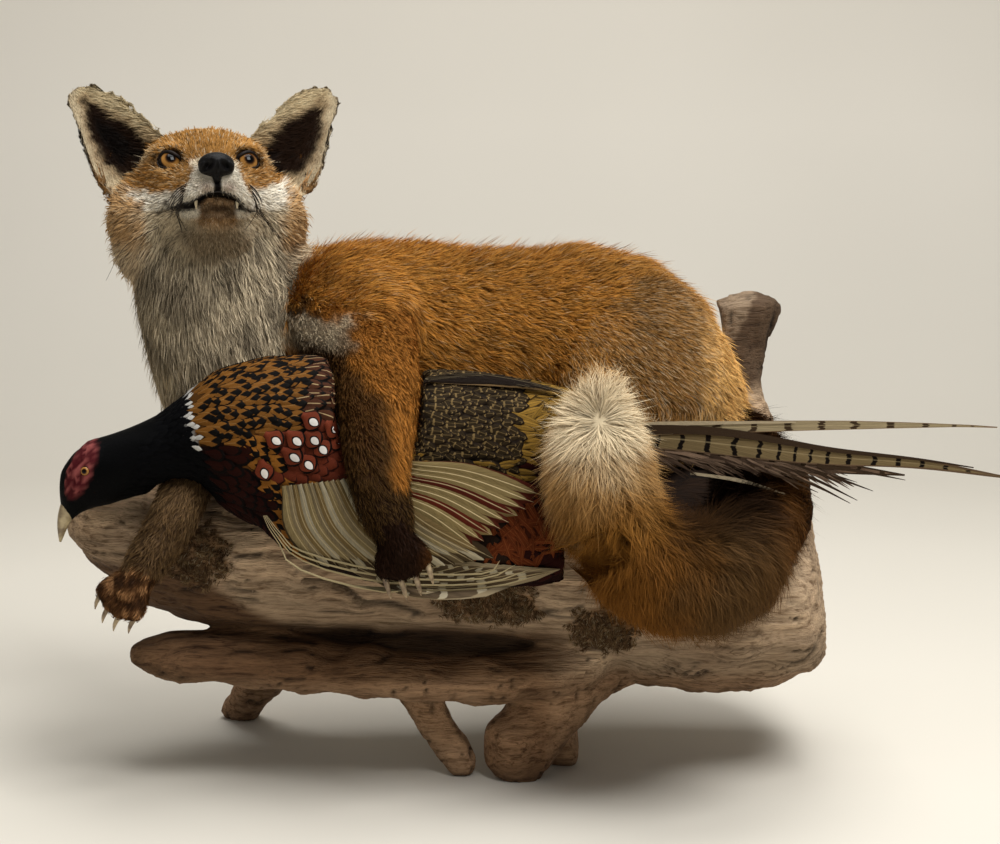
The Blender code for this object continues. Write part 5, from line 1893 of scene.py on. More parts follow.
INK = linear(11, 8, 6)
PLUMES = {
    "crown": Plume(0.0085, 0.0048, 0.0029, linear(3, 3, 4), linear(7, 10, 11), INK, lift=0.0006),
    "ring": Plume(0.007, 0.0034, 0.003, linear(190, 186, 178), linear(160, 156, 148),
        linear(190, 186, 178), lift=0.0008),
    "mantle": Plume(0.0165, 0.0088, 0.005, linear(112, 72, 28), linear(150, 116, 72), INK, notch=0.84,
        streak=0.05, edge=0.16),
    "scapular": Plume(0.018, 0.0095, 0.0056, linear(64, 36, 22), linear(150, 128, 92), INK, edge=0.2,
        streak=0.1, notch=0.45),
    "breast": Plume(0.016, 0.01, 0.0056, linear(32, 8, 4), linear(52, 18, 9), linear(9, 4, 3),
        edge=0.3),
    "fringe": Plume(0.015, 0.009, 0.0052, linear(132, 84, 32), linear(150, 104, 52), INK, notch=0.8,
        edge=0.14),
    "chestnut": Plume(0.017, 0.012, 0.0062, linear(92, 40, 24), linear(110, 60, 40), linear(44, 18, 12),
        edge=0.16),
    "covert": Plume(0.02, 0.0135, 0.0082, linear(104, 46, 28), linear(214, 208, 200), INK, drop=0.78,
        edge=0.08),
    "scallop": Plume(0.015, 0.007, 0.0038, linear(44, 34, 20), linear(112, 92, 58), linear(28, 20, 13),
        edge=0.22, streak=0.06, bars=2.4),
    "rump": Plume(0.021, 0.0042, 0.004, linear(132, 100, 40), linear(80, 62, 30), linear(62, 46, 22),
        edge=0.14, streak=0.1),
    "maroon": Plume(0.02, 0.01, 0.007, linear(44, 14, 9), linear(30, 10, 8), linear(16, 6, 5),
        edge=0.14),
    "rust": Plume(0.024, 0.0034, 0.0036, linear(100, 46, 20), linear(122, 70, 36), linear(64, 28, 12),
        streak=0.1),
    "belly": Plume(0.022, 0.013, 0.01, linear(34, 21, 14), linear(48, 30, 19), INK, edge=0.1),
}
COVERTS = (  # root and tip on the near side: along the body and up
    (-0.146, 0.27, -0.134, 0.263), (-0.131, 0.265, -0.12, 0.257),
    (-0.17, 0.258, -0.158, 0.251), (-0.156, 0.259, -0.145, 0.25),
    (-0.144, 0.259, -0.134, 0.2505), (-0.159, 0.248, -0.146, 0.2395),
    (-0.173, 0.241, -0.169, 0.227), (-0.138, 0.254, -0.129, 0.244),
    (-0.127, 0.257, -0.118, 0.249), (-0.148, 0.244, -0.138, 0.234),
)


@dataclass(frozen=True)
class FeatherFinish:
    """Vanes with their own ground, marks and rims, all read from where on the vane a place is."""

    name: str = "plumage_vane"

    def build(self) -> Material:
        """The material."""
        nodes = Nodes(self.name, Roughness=0.6, Specular_IOR_Level=0.045)
        t, u, seed = nodes.parts(nodes.attribute("vane"))
        edge, streak, bars = nodes.parts(nodes.attribute("pattern"))
        drop, notch, shaft = nodes.parts(nodes.attribute("spots"))
        across = nodes.maths("ABSOLUTE", u)
        tip = nodes.times(nodes.maths("MAXIMUM", nodes.less(t, 0.5), 0.0), 2.0)
        reach = nodes.length(across, tip)
        shifted_seed = nodes.times(seed, 37.0)
        spot = nodes.triple(nodes.times(across, 2.0), nodes.times(t, 9.0), shifted_seed)
        wobble = nodes.noise(1.3, 2.0, 0.5, spot)
        barb_place = nodes.triple(nodes.times(across, 1.5), nodes.less(nodes.times(t, 70.0),
            nodes.times(across, 12.0)), shifted_seed)
        barbs = nodes.noise(1.6, 2.0, 0.5, barb_place)
        ground, mark, dark_rim = (nodes.attribute(title) for title in ("ground", "mark", "rim"))
        shade = nodes.ramp(barbs, [(0.32, (0.68, 0.68, 0.68)), (0.68, (1.12, 1.12, 1.12))])
        colour = nodes.mix(1.0, ground, shade, "MULTIPLY")
        wave = nodes.maths("SINE", nodes.plus(nodes.times(t, nodes.times(bars, 2 * pi)),
            nodes.times(wobble, 2.0)))
        barred = nodes.step(wave, 0.74, 0.88)
        barred = nodes.times(barred, nodes.step(bars, 0.05, 0.1))
        colour = nodes.mix(barred, colour, mark)
        line = nodes.step(nodes.less(streak, across), 0.0, 0.05)
        colour = nodes.mix(line, colour, mark)
        rim = nodes.less(nodes.plus(reach, nodes.times(wobble, 0.12)), nodes.less(1.03, edge))
        rim = nodes.times(nodes.step(rim, 0.0, 0.06), nodes.step(edge, 0.01, 0.03))
        colour = nodes.mix(rim, colour, dark_rim)
        wedge = nodes.less(nodes.plus(t, nodes.times(across, -0.45)),
            nodes.less(1.0, nodes.times(notch, 0.6)))
        wedge = nodes.times(nodes.step(wedge, 0.0, 0.05), nodes.step(notch, 0.01, 0.03))
        colour = nodes.mix(wedge, colour, dark_rim)
        along = nodes.maths("DIVIDE", nodes.less(t, 0.66), 0.3)
        wide = nodes.maths("DIVIDE", across, 0.46)
        blot = nodes.length(along, wide)
        blot = nodes.maths("DIVIDE", blot, nodes.maths("MAXIMUM", drop, 0.001))
        dark = nodes.times(nodes.step(blot, 1.35, 1.2), nodes.step(drop, 0.01, 0.03))
        colour = nodes.mix(dark, colour, dark_rim)
        pale = nodes.times(nodes.step(blot, 1.0, 0.9), nodes.step(drop, 0.01, 0.03))
        colour = nodes.mix(pale, colour, mark)
        quill = nodes.times(nodes.step(across, 0.085, 0.045), shaft)
        colour = nodes.mix(quill, colour, linear(190, 170, 128))
        nodes.colour(colour)
        nodes.bump(nodes.plus(barbs, nodes.times(quill, 2.0)), 0.0004, 0.6)
        return nodes.material


@dataclass
class Vanes:
    """Feathers gathered into one piece: each is a small curved sheet on the bird."""

    columns: int = 5
    rows: int = 7
    points: list = field(default_factory=list)
    vane: list = field(default_factory=list)
    paint: dict = field(default_factory=lambda: {"ground": [], "mark": [], "rim": []})
    pattern: list = field(default_factory=list)
    spots: list = field(default_factory=list)

    def grid(self) -> tuple[Array, Array]:
        """Shares along and across one vane."""
        t, u = np.meshgrid(np.linspace(0, 1, self.rows), np.linspace(-1, 1, self.columns),
            indexing="ij")
        return t.ravel(), u.ravel()

    def outline(self, t: Array, kind: Plume) -> Array:
        """The vane's half width at each share of its length."""
        wide = 0.3 + 0.7 * ease(0.0, 0.55, t)
        start = kind.round_tip
        fall = np.sqrt(np.clip(1 - (np.clip(t - start, 0, 1) / (1 - start)) ** 2.4, 0.0025, 1))
        return kind.width / 2 * wide * fall

    def add(self, spine: Array, side: Array, kind: Plume, seed: float, settle: object,
            lift: float = 0.0, tone: float = 1.0, halves: Array | None = None) -> None:
        """Lays one feather.

        Args:
            spine: Its middle line, one place for each row.
            side: The direction across it at each row.
            kind: Its size and colours.
            seed: Sets its own small differences, from 0 to 1.
            settle: Called with places and heights, brings them onto the bird.
            lift: Added to its height.
            tone: How light it is against its kind.
            halves: Its half width at each row, where its kind's own outline won't do.
        """
        t, u = self.grid()
        row = np.repeat(np.arange(self.rows), self.columns)
        wide = self.outline(t, kind) if halves is None else halves[row]
        flat = spine[row] + side[row] * (wide * u)[:, None]
        height = lift + kind.lift * (0.25 + 0.9 * t) - kind.width * 0.1 * u * u
        self.points.append(settle(flat, height))
        count = len(t)
        self.vane.append(np.c_[t, u, np.full(count, seed)])
        for title in self.paint:
            shade = tone * (0.88 + 0.24 * seed)
            self.paint[title].append(np.tile(np.array(getattr(kind, title)) * shade, (count, 1)))
        self.pattern.append(np.tile((kind.edge, kind.streak, kind.bars), (count, 1)))
        self.spots.append(np.tile((kind.drop, kind.notch, kind.shaft), (count, 1)))

    def piece(self, name: str, route: Route) -> bpy.types.Object:
        """All the feathers as one piece."""
        count = len(self.points)
        size = self.rows * self.columns
        quad = grid_faces(self.rows, self.columns)
        faces = (quad[None] + (np.arange(count) * size)[:, None, None]).reshape(-1, 4)
        points = np.vstack(self.points)
        roots = np.array([rows[self.columns // 2] for rows in self.points])
        t, u = self.grid()
        patch = route.unwrap(roots)[:, None] * 0.99 + 0.005
        patch = patch + (np.c_[u, 2 * t - 1] * PATCH)[None]
        colours = {title: np.vstack(rows) for title, rows in self.paint.items()}
        vectors = {"vane": np.vstack(self.vane), "pattern": np.vstack(self.pattern),
            "spots": np.vstack(self.spots)}
        return new_piece(name, Shape(points, faces), FeatherFinish().build(), "plumage", colours,
            vectors, np.clip(patch.reshape(-1, 2), 0, 1))


TAIL_Y = -0.066  # the plane in which the tail's feathers lie
FEATHER_TRIES = 42000


@dataclass
class Pheasant:
    """The cock pheasant: a body under feathers, the folded wing, the long tail and the bare face."""

    voxel: float = 0.0032
    shape: Shape = field(init=False)
    tree: BVHTree = field(init=False)
    route: Route = field(init=False)

    def __post_init__(self) -> None:
        """Builds the body that the feathers lie on."""
        shape = remeshed(node_shape("pheasant", 0.0004), self.voxel)
        edges = shape.edges()
        shape.points = spread(edges, shape.points, 10)
        shape.points = shape.points - shape.normals() * 0.0016
        reach = ease(0.052, 0.084, shape.points[:, 0])[:, None]
        shape.points = blend(shape.points, np.c_[shape.points[:, 0], np.full(len(reach), -0.056),
            np.full(len(reach), 0.247)], reach.ravel())
        keep = shape.points[shape.faces[:, 0], 0] < 0.088
        used, index = np.unique(shape.faces[keep], return_inverse=True)
        shape = Shape(shape.points[used], index.reshape(-1, 4))
        self.shape = shape
        self.tree = shape.tree()
        self.route = Route(plan((-0.293, -0.109, 0.182), (-0.27, -0.105, 0.224), (-0.22, -0.096, 0.241),
            (-0.105, -0.087, 0.239), (-0.005, -0.086, 0.241), (0.07, -0.08, 0.261)))

    def settle(self, places: Array, height: Array) -> Array:
        """Places brought onto the body and raised."""
        found = [self.tree.find_nearest(place) for place in places.tolist()]
        return np.array([hit[0] + hit[1] * h for hit, h in zip(found, height)])

    def settle_front(self, places: Array, height: Array) -> Array:
        """Places brought back to the near face of the body, without moving along it or up it."""
        result = places.copy()
        for k, (x, _, z) in enumerate(places.tolist()):
            hit = self.tree.ray_cast(Vector((x, -0.4, z)), Vector((0, 1, 0)), 0.36)
            if hit[0] is not None:
                result[k, 1] = hit[0].y
        return result - np.outer(height, (0, 1, 0))

    @staticmethod
    def tract(place: Array) -> str:
        """The kind of feather that grows at a place."""
        x, y, z = place
        neck = x - 0.3 * (0.262 - z)
        if neck < -0.224:
            return "crown"
        if neck < -0.219:
            return "ring" if z > 0.246 and y < -0.05 else "crown"
        if x < -0.153 and z > 0.252 + 0.25 * (x + 0.2):
            return "mantle"
        if x < -0.09 and z > 0.27:
            return "scapular"
        if x < -0.1 and z > 0.226 and x > -0.176 + 0.3 * (0.262 - z):
            return "chestnut"
        if x < -0.184 + 0.45 * (0.235 - z):
            return "breast"
        if x < -0.14:
            return "fringe"
        if -0.022 < x < 0.014 and 0.176 < z < 0.206:
            return "rust"
        if x > -0.006 and z < 0.238:
            return "maroon"
        if z > 0.235 and x < -0.012:
            return "scallop"
        if z > 0.228:
            return "rump"
        return "belly"

    def feathers(self) -> None:
        """Covers the whole body, each tract in its own kind."""
        draw = np.random.default_rng(401)
        corners = self.shape.points[self.shape.faces]
        area = np.linalg.norm(np.cross(corners[:, 2] - corners[:, 0], corners[:, 3] - corners[:, 1]),
            axis=1)
        picked = draw.choice(len(area), FEATHER_TRIES, p=area / area.sum())
        share = draw.random((len(picked), 2))
        c = corners[picked]
        a, b = share[:, :1], share[:, 1:]
        places = (c[:, 0] * (1 - a) * (1 - b) + c[:, 1] * a * (1 - b) + c[:, 2] * a * b
            + c[:, 3] * (1 - a) * b)
        normals = unit(np.cross(c[:, 2] - c[:, 0], c[:, 3] - c[:, 1]))
        small, large = Vanes(3, 4), Vanes(5, 7)
        taken = np.zeros((0, 3))
        start = -0.272
        for place, normal in zip(places, normals):
            if place[0] < start + 0.4 * (place[2] - 0.2) or place[0] > 0.066 or self.on_face(place):
                continue
            name = self.tract(place + draw.normal(0, 0.0024, 3) * (1, 0, 1) * (place[0] > -0.21))
            kind = PLUMES[name]
            hidden = place[1] > -0.02
            gap = kind.gap * (1.6 if hidden else 1.0)
            if len(taken) and (((taken - place) ** 2).sum(axis=1) < gap * gap).any():
                continue
            taken = np.vstack([taken, place])
            vanes = small if name in ("crown", "ring") else large
            self.lay(vanes, place, normal, kind, name, draw)
        LOG.info("bird: %d and %d feathers", len(small.points), len(large.points))
        small.piece("bird_neck_feathers", self.route)
        large.piece("bird_feathers", self.route)

    def lay(self, vanes: Vanes, place: Array, normal: Array, kind: Plume, name: str,
            draw: np.random.Generator) -> None:
        """One body feather, along the body and a little off true."""
        ahead = self.route.ahead[self.route.nearest(place[None])[0]].copy()
        if name in ("chestnut", "fringe"):
            ahead = ahead + (0.1, 0, -0.45)
        if name == "rust":
            ahead = ahead + (-0.9, 0, -0.35)
        if name in ("scallop", "rump"):
            ahead = ahead + (0, 0, -0.25)
        ahead = ahead + draw.normal(0, 0.28 if name in ("scallop", "rump", "rust") else 0.14, 3)
        ahead = unit(ahead - normal * (ahead @ normal))
        side = np.cross(normal, ahead)
        length = kind.length * draw.uniform(0.88, 1.12)
        steps = np.linspace(-0.15, 0.85, vanes.rows) * length
        spine = place + np.outer(steps, ahead)
        tone = draw.uniform(0.86, 1.12)
        vanes.add(spine, np.tile(side, (vanes.rows, 1)), kind, draw.random(), self.settle,
            draw.uniform(0, 0.0004), tone)

    def on_face(self, place: Array) -> bool:
        """Whether a place lies on the bare red skin of the face."""
        x, y, z = place
        across = x + 0.2905 - 0.35 * (z - 0.2315)
        return y < -0.075 and (across / 0.0095) ** 2 + ((z - 0.2315) / 0.0185) ** 2 < 1

    def wing(self) -> None:
        """The flight feathers in their fan, from the shortest to the long edge of the wing."""
        draw = np.random.default_rng(433)
        vanes = Vanes(7, 16)
        near = -0.11
        olives = [Plume(0, 0.0118, 0, linear(*ground), linear(*ground), linear(*rim), edge=0.22,
            shaft=0.45, lift=0.0014, round_tip=0.7) for ground, rim in (((126, 110, 76), (60, 48, 30)),
            ((150, 140, 116), (96, 82, 58)), ((104, 86, 54), (48, 36, 22)),
            ((118, 104, 78), (150, 140, 116)))]
        grey = Plume(0, 0.0115, 0, linear(92, 76, 56), linear(176, 164, 136), linear(140, 124, 96),
            edge=0.05, bars=9.0, shaft=0.8, lift=0.001, round_tip=0.82)
        for k in range(9):
            s = k / 8
            root = np.array((-0.16 + 0.014 * s, near, 0.212 - 0.014 * s))
            tip = np.array((0.022 - 0.012 * (8 - k), near, 0.165 + 0.0012 * (8 - k)))
            low = np.array((-0.09 + 0.004 * k, near, 0.1545 + 0.0018 * (8 - k)))
            bend = (root + low) / 2 + (-0.012, 0, -0.006)
            self.quill(vanes, (root, bend, low, tip), grey, 0.0004 + 0.00035 * k, draw)
        for k in range(19):
            s = k / 18
            root = np.array((-0.158 + 0.062 * s, near, 0.224 + 0.008 * s))
            tip = np.array((-0.136 + 0.114 * s, near, 0.17 - 0.004 * sin(pi * s) + 0.006 * s))
            middle = (root + tip) / 2 + (-0.006 - 0.004 * s, 0, -0.001)
            self.quill(vanes, (root, middle, tip), olives[3 * k % 4], 0.004 + 0.00025 * k, draw)
        straw = linear(178, 162, 124)
        pale = Plume(0, 0.0014, 0, straw, straw, linear(140, 122, 88), lift=0.0006, round_tip=0.6)
        for k in range(4):
            drop = 0.0034 * k
            rows = ((-0.172 + 0.2 * drop, near, 0.204), (-0.166 + 0.6 * drop, near, 0.191),
                (-0.147, near, 0.17 + 1.0 * drop), (-0.093, near, 0.1555 + 1.2 * drop),
                (-0.03, near, 0.1545 + 1.0 * drop), (0.013 - 3 * drop, near, 0.164 + drop))
            self.quill(vanes, rows, pale, 0.0078 - 0.0004 * k, draw)
        buff = Plume(0, 0.01, 0, linear(122, 105, 68), linear(74, 34, 18), linear(64, 24, 13), edge=0.1,
            streak=0.0, shaft=0.9, lift=0.0012, round_tip=0.75)
        russet = Plume(0, 0.01, 0, linear(74, 26, 14), linear(60, 20, 11), linear(110, 92, 58),
            edge=0.06, shaft=0.6, lift=0.0012, round_tip=0.75)
        for k in range(9):
            s = k / 8
            root = np.array((-0.098 + 0.012 * s, near, 0.22 + 0.02 * s))
            tip = np.array((-0.034 + 0.044 * s, near, 0.184 + 0.032 * s))
            middle = (root + tip) / 2 + (0.0, 0, 0.006)
            self.quill(vanes, (root, middle, tip), russet if k in (2, 5) else buff, 0.0085 + 0.0003 * k,
                draw)
        ink = Plume(0, 0.0105, 0, linear(26, 18, 12), linear(120, 98, 66), linear(110, 88, 58),
            edge=0.06, shaft=0.2, lift=0.0016, round_tip=0.25)
        for k in range(8):
            s = k / 7
            root = np.array((-0.082 + 0.034 * s, -0.092 + 0.01 * s, 0.3))
            tip = root + (0.066 + 0.012 * s, 0.004, -0.006 - 0.012 * s)
            self.quill(vanes, (root, (root + tip) / 2 + (0, 0, 0.003), tip), ink, 0.002 + 0.0004 * k,
                draw, over=True)
        for k, (x, z, tip_x, tip_z) in enumerate(COVERTS):
            root, tip = np.array((x, near, z)), np.array((tip_x, near, tip_z))
            self.quill(vanes, (root, (root + tip) / 2, tip), PLUMES["covert"], 0.004 - 0.0002 * k, draw)
        vanes.piece("bird_wing_feathers", self.route)

    def quill(self, vanes: Vanes, rows: tuple, kind: Plume, lift: float, draw: np.random.Generator,
            over: bool = False) -> None:
        """One long feather through a few places."""
        spine = smooth_curve(np.array(rows), vanes.rows)
        ahead = unit(np.gradient(spine, axis=0))
        facing = (0, 0.3, 1) if over else (0, -1, 0)
        side = unit(np.cross(np.array(facing, float), ahead))
        settle = self.settle if over else self.settle_front
        vanes.add(spine, side, kind, draw.random(), settle, lift, draw.uniform(0.9, 1.08))

    def tail(self) -> None:
        """The long tail feathers, free of the body, with the loose barbs under them."""
        draw = np.random.default_rng(457)
        vanes, barbs = Vanes(7, 40), Vanes(3, 8)
        khaki, dark = linear(120, 102, 70), linear(58, 44, 31)
        barred = Plume(0, 0, 0, khaki, linear(18, 12, 8), linear(96, 76, 56), edge=0.1, bars=18.5,
            shaft=0.25)
        narrow = Plume(0, 0, 0, linear(156, 140, 108), linear(58, 44, 30), linear(122, 98, 72),
            edge=0.1, bars=15.0, shaft=0.4)
        plain = Plume(0, 0, 0, dark, dark, linear(48, 33, 21), edge=0.06)
        cream = Plume(0, 0, 0, linear(188, 170, 138), khaki, khaki)

        def free(places: Array, height: Array) -> Array:
            """Places left where they are, towards the viewer by their height."""
            return places - np.outer(height, (0, 1, 0))

        def blade(rows: list, halves: list, kind: Plume, lift: float, held: Vanes) -> None:
            """One feather through a few places, with its half width in millimetres at each."""
            spine = smooth_curve(np.array([(x, TAIL_Y, z) for x, z in rows]), held.rows)
            share = np.linspace(0, 1, len(halves))
            wide = np.interp(np.linspace(0, 1, held.rows), share, halves) / 1000
            side = unit(np.cross((0, -1.0, 0), unit(np.gradient(spine, axis=0))))
            held.add(spine, side, kind, draw.random(), free, lift, draw.uniform(0.92, 1.05), wide)

        blade([(0.03, 0.259), (0.0763, 0.2549), (0.1503, 0.2566), (0.2175, 0.2576), (0.2847, 0.2573),
            (0.315, 0.2562)], [3.6, 4.2, 3.9, 3.0, 1.0, 0.4], narrow, 0.0004, vanes)
        blade([(0.05, 0.2575), (0.11, 0.259), (0.18, 0.2598)], [1.6, 1.4, 0.6], cream, 0.0009, vanes)
        blade([(0.04, 0.251), (0.0975, 0.2485), (0.1608, 0.2412), (0.2025, 0.2361), (0.2611, 0.2317),
            (0.3185, 0.2228)], [8.0, 8.0, 7.2, 5.6, 3.6, 1.0], barred, 0.0002, vanes)
        blade([(0.04, 0.253), (0.0973, 0.2548), (0.1428, 0.2515), (0.202, 0.2414), (0.2605, 0.2349),
            (0.3, 0.229)], [3.4, 3.0, 2.6, 1.7, 0.9, 0.4], plain, 0.0012, vanes)
        blade([(0.06, 0.246), (0.14, 0.237), (0.2038, 0.2292), (0.2544, 0.2235)], [9.0, 8.0, 4.5, 0.6],
            Plume(0, 0, 0, linear(122, 98, 78), dark, dark, edge=0.12, bars=9.0), -0.001, vanes)
        blade([(0.11, 0.225), (0.1435, 0.22), (0.174, 0.211)], [0.9, 1.3, 0.5], cream, 0.0008, vanes)
        for _ in range(150):
            s = draw.random()
            root = np.array((0.072 + 0.128 * s, 0.244 - 0.015 * s - 0.006 * draw.random()))
            slope = draw.uniform(-0.62, -0.22)
            run = draw.uniform(0.02, 0.038) * (1.0 - 0.25 * s)
            tip = root + unit(np.array((1.0, slope))) * run
            shade = blend(np.array([linear(146, 120, 98)]), linear(52, 38, 29),
                np.array([draw.random() ** 0.8]))[0]
            kind = Plume(0, 0, 0, tuple(shade), dark, tuple(shade * 0.7), edge=0.1)
            blade([root, (root + tip) / 2 + (0, 0.001), tip], [0.55, 0.85, 0.6, 0.1], kind,
                draw.uniform(-0.0008, 0.0008), barbs)
        for tip, root_x in (((0.2179, 0.2046), 0.165), ((0.2226, 0.2066), 0.172), ((0.21, 0.209), 0.16),
                ((0.233, 0.213), 0.18), ((0.2544, 0.2205), 0.195), ((0.196, 0.212), 0.15)):
            root = np.array((root_x, 0.23))
            blade([root, (root + tip) / 2 + (0, 0.001), tip], [1.4, 1.1, 0.8, 0.2], plain, 0.001, barbs)
        route = Route(plan((0.03, -0.085, 0.25), (0.19, -0.086, 0.25), (0.345, -0.09, 0.24)))
        vanes.piece("bird_tail_feathers", route)
        barbs.piece("bird_tail_barbs", route)

    def skin(self) -> None:
        """The body's own surface, with painted shade under the feathers, and red and warty on the face.
        """
        points = self.shape.points
        # each tract's feather colour darkened to 0.4: painted shade in the gaps under the feathers
        rows = np.array([PLUMES[self.tract(place)].ground for place in points]) * 0.4
        x, y, z = points.T
        red = ((x + 0.293 - 0.35 * (z - 0.2315)) / 0.009) ** 2 + ((z - 0.2315) / 0.0195) ** 2
        red = ease(1.1, 0.8, red) * (y < -0.07)
        wart = waves(points, 0.0035, 71)
        paint = blend(linear(70, 20, 24), linear(140, 74, 70), ease(0, 1, wart))
        rows = blend(rows, paint, red)
        lift = red * 0.0016 * (0.6 + 0.4 * wart)
        shape = Shape(points + self.shape.normals() * lift[:, None], self.shape.faces)
        finish = CoatFinish("bird_hide", roughness=0.6, strands=0.5).build()
        piece = new_piece("bird_body", shape, finish, "plumage", colours={"coat": rows})
        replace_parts(piece, "pheasant")

    def head(self) -> None:
        """Beak, eye and the ear tuft."""
        route = smooth_curve(plan((-0.279, -0.107, 0.216), (-0.2865, -0.108, 0.204),
            (-0.2905, -0.109, 0.193), (-0.2925, -0.109, 0.182)), 12)
        upper = np.array((8.6, 8.4, 8.0, 7.4, 6.8, 6.1, 5.4, 4.6, 3.7, 2.8, 1.9, 0.9)) / 1000
        shape = tube(route, upper, 18, 0.8)
        horn = GlossFinish("beak_horn", linear(120, 102, 76), linear(184, 166, 128), 0.4, grain=150.0)
        new_piece("bird_beak", shape, horn.build(), "plumage")
        centre = np.array((-0.2915, -0.115, 0.2335))
        hit = self.tree.find_nearest(Vector(centre))
        middle = np.array(hit[0]) - np.array(hit[1]) * 0.0008
        gaze = unit(np.array(hit[1]))
        glass = EyeFinish("bird_eye_glass").build()
        glass_eye("bird_eye", middle, 0.0036, gaze, np.zeros(3), glass, 24, 20)

    def build(self) -> None:
        """The whole bird."""
        self.skin()
        self.feathers()
        self.wing()
        self.tail()
        self.head()


# ---------------------------------------------------------------- the stand

@dataclass(frozen=True)
class WoodFinish:
    """Weathered driftwood: long grain, dark cracks and paler worn ridges."""

    name: str = "weathered_wood"

    def build(self) -> Material:
        """The material."""
        nodes = Nodes(self.name, Roughness=0.8, Specular_IOR_Level=0.2)
        along = nodes.stretched((3.0, 26.0, 26.0))
        grain = nodes.noise(9.0, 8.0, 0.62, along)
        fine = nodes.noise(38.0, 6.0, 0.6, along)
        cloud = nodes.noise(14.0, 4.0)
        split = nodes.noise(5.0, 4.0, 0.5, nodes.stretched((2.2, 16.0, 16.0)))
        tone = nodes.mix(cloud, linear(226, 200, 166), linear(156, 122, 92))
        streak = nodes.ramp(grain, [(0.32, (0.36, 0.31, 0.26)), (0.47, (0.88, 0.87, 0.86)),
            (0.66, (1.2, 1.2, 1.2))])
        tone = nodes.mix(1.0, tone, streak, "MULTIPLY")
        pores = nodes.ramp(fine, [(0.36, (0.62, 0.59, 0.56)), (0.5, (1, 1, 1))])
        tone = nodes.mix(0.8, tone, pores, "MULTIPLY")
        away = nodes.maths("ABSOLUTE", nodes.less(split, 0.5))
        line = nodes.ramp(away, [(0.0, (0.42, 0.38, 0.34)), (0.006, (0.66, 0.63, 0.6)),
            (0.016, (1, 1, 1))])
        patchy = nodes.ramp(nodes.noise(7.0, 1.0), [(0.46, (0, 0, 0)), (0.58, (1, 1, 1))])
        tone = nodes.mix(patchy, tone, nodes.mix(1.0, tone, line, "MULTIPLY"))
        # the mesh's own colours carry the wood's tints and its painted shade
        nodes.colour(nodes.mix(1.0, tone, nodes.attribute("tint_and_shade"), "MULTIPLY"))
        height = nodes.plus(nodes.times(grain, 0.7), nodes.times(fine, 0.3))
        nodes.bump(height, 0.005, 1.0)
        return nodes.material


WOOD_NODES = ("wood_log", "wood_branch", "wood_stub", "wood_leg_front", "wood_knob_foot",
    "wood_rear_foot", "wood_back_root", "wood_snag")
MOSS = (  # middle and reach on the log's near side: along and up
    (-0.2219, 0.1673, 0.0205, 0.0185), (-0.0277, 0.1376, 0.03, 0.0165),
    (0.053, 0.1172, 0.0215, 0.016), (-0.005, 0.133, 0.013, 0.011),
)
GAP_SHADOW_FILL = (-0.075, -0.015, 0.0975)  # a dark ball painted as the shadow in the gap between the log and the branch
GAP_SHADOW_REACH = (0.085, 0.024, 0.012)
CRACK = ((-0.1492, 0.1523), (-0.1361, 0.1503), (-0.123, 0.1435), (-0.11, 0.1348), (-0.0903, 0.1321),
    (-0.0738, 0.128))


@dataclass
class Bark:
    """What a coat piece reads when it grows on wood: moss in place of hair."""

    shape: Shape
    normals: Array
    labels: Array = field(init=False)
    flow: Array = field(init=False)
    tree: BVHTree = field(init=False)

    def __post_init__(self) -> None:
        """Lets the fibres hang."""
        count = len(self.shape.points)
        self.labels = np.zeros(count, int)
        swirl = np.c_[waves(self.shape.points, 0.012, 61), np.zeros(count),
            waves(self.shape.points, 0.012, 62) - 0.5]
        self.flow = unit(swirl - self.normals * (swirl * self.normals).sum(axis=1)[:, None])
        self.tree = self.shape.tree()

    @staticmethod
    def paint(spot: Spot) -> Array:
        """Brown moss, paler in places."""
        wander = spot.wave(0.006, 63)
        rows = np.tile(linear(100, 76, 52), (len(wander), 1))
        return blend(rows, linear(146, 120, 84), ease(0.1, 1.0, wander) * 0.7)

    @staticmethod
    def style(spot: Spot, near: Array) -> Hair:
        """Short fibres that stand off."""
        count = len(near)
        return Hair(np.full(count, 0.004), np.full(count, 0.00044), np.full(count, 0.0022), clump=1.0,
            clump_size=0.004, dark=0.25, pale=0.08, stray=0.2, jitter=0.8)

    @staticmethod
    def patch(points: Array) -> Array:
        """How deep each place is inside a patch of moss, from 0 to 1."""
        wander = waves(points, 0.01, 64)
        found = np.zeros(len(points))
        for x, z, wide, high in MOSS:
            away = np.hypot((points[:, 0] - x) / wide, (points[:, 2] - z) / high)
            found = np.maximum(found, ease(1.12, 0.88, away + 0.16 * wander))
        return found * (points[:, 1] < -0.03)

    def unwrap(self, points: Array) -> Array:
        """The log laid out by length and height."""
        return np.clip(np.c_[(points[:, 0] + 0.33) / 0.66, points[:, 2] / 0.4], 0, 1)


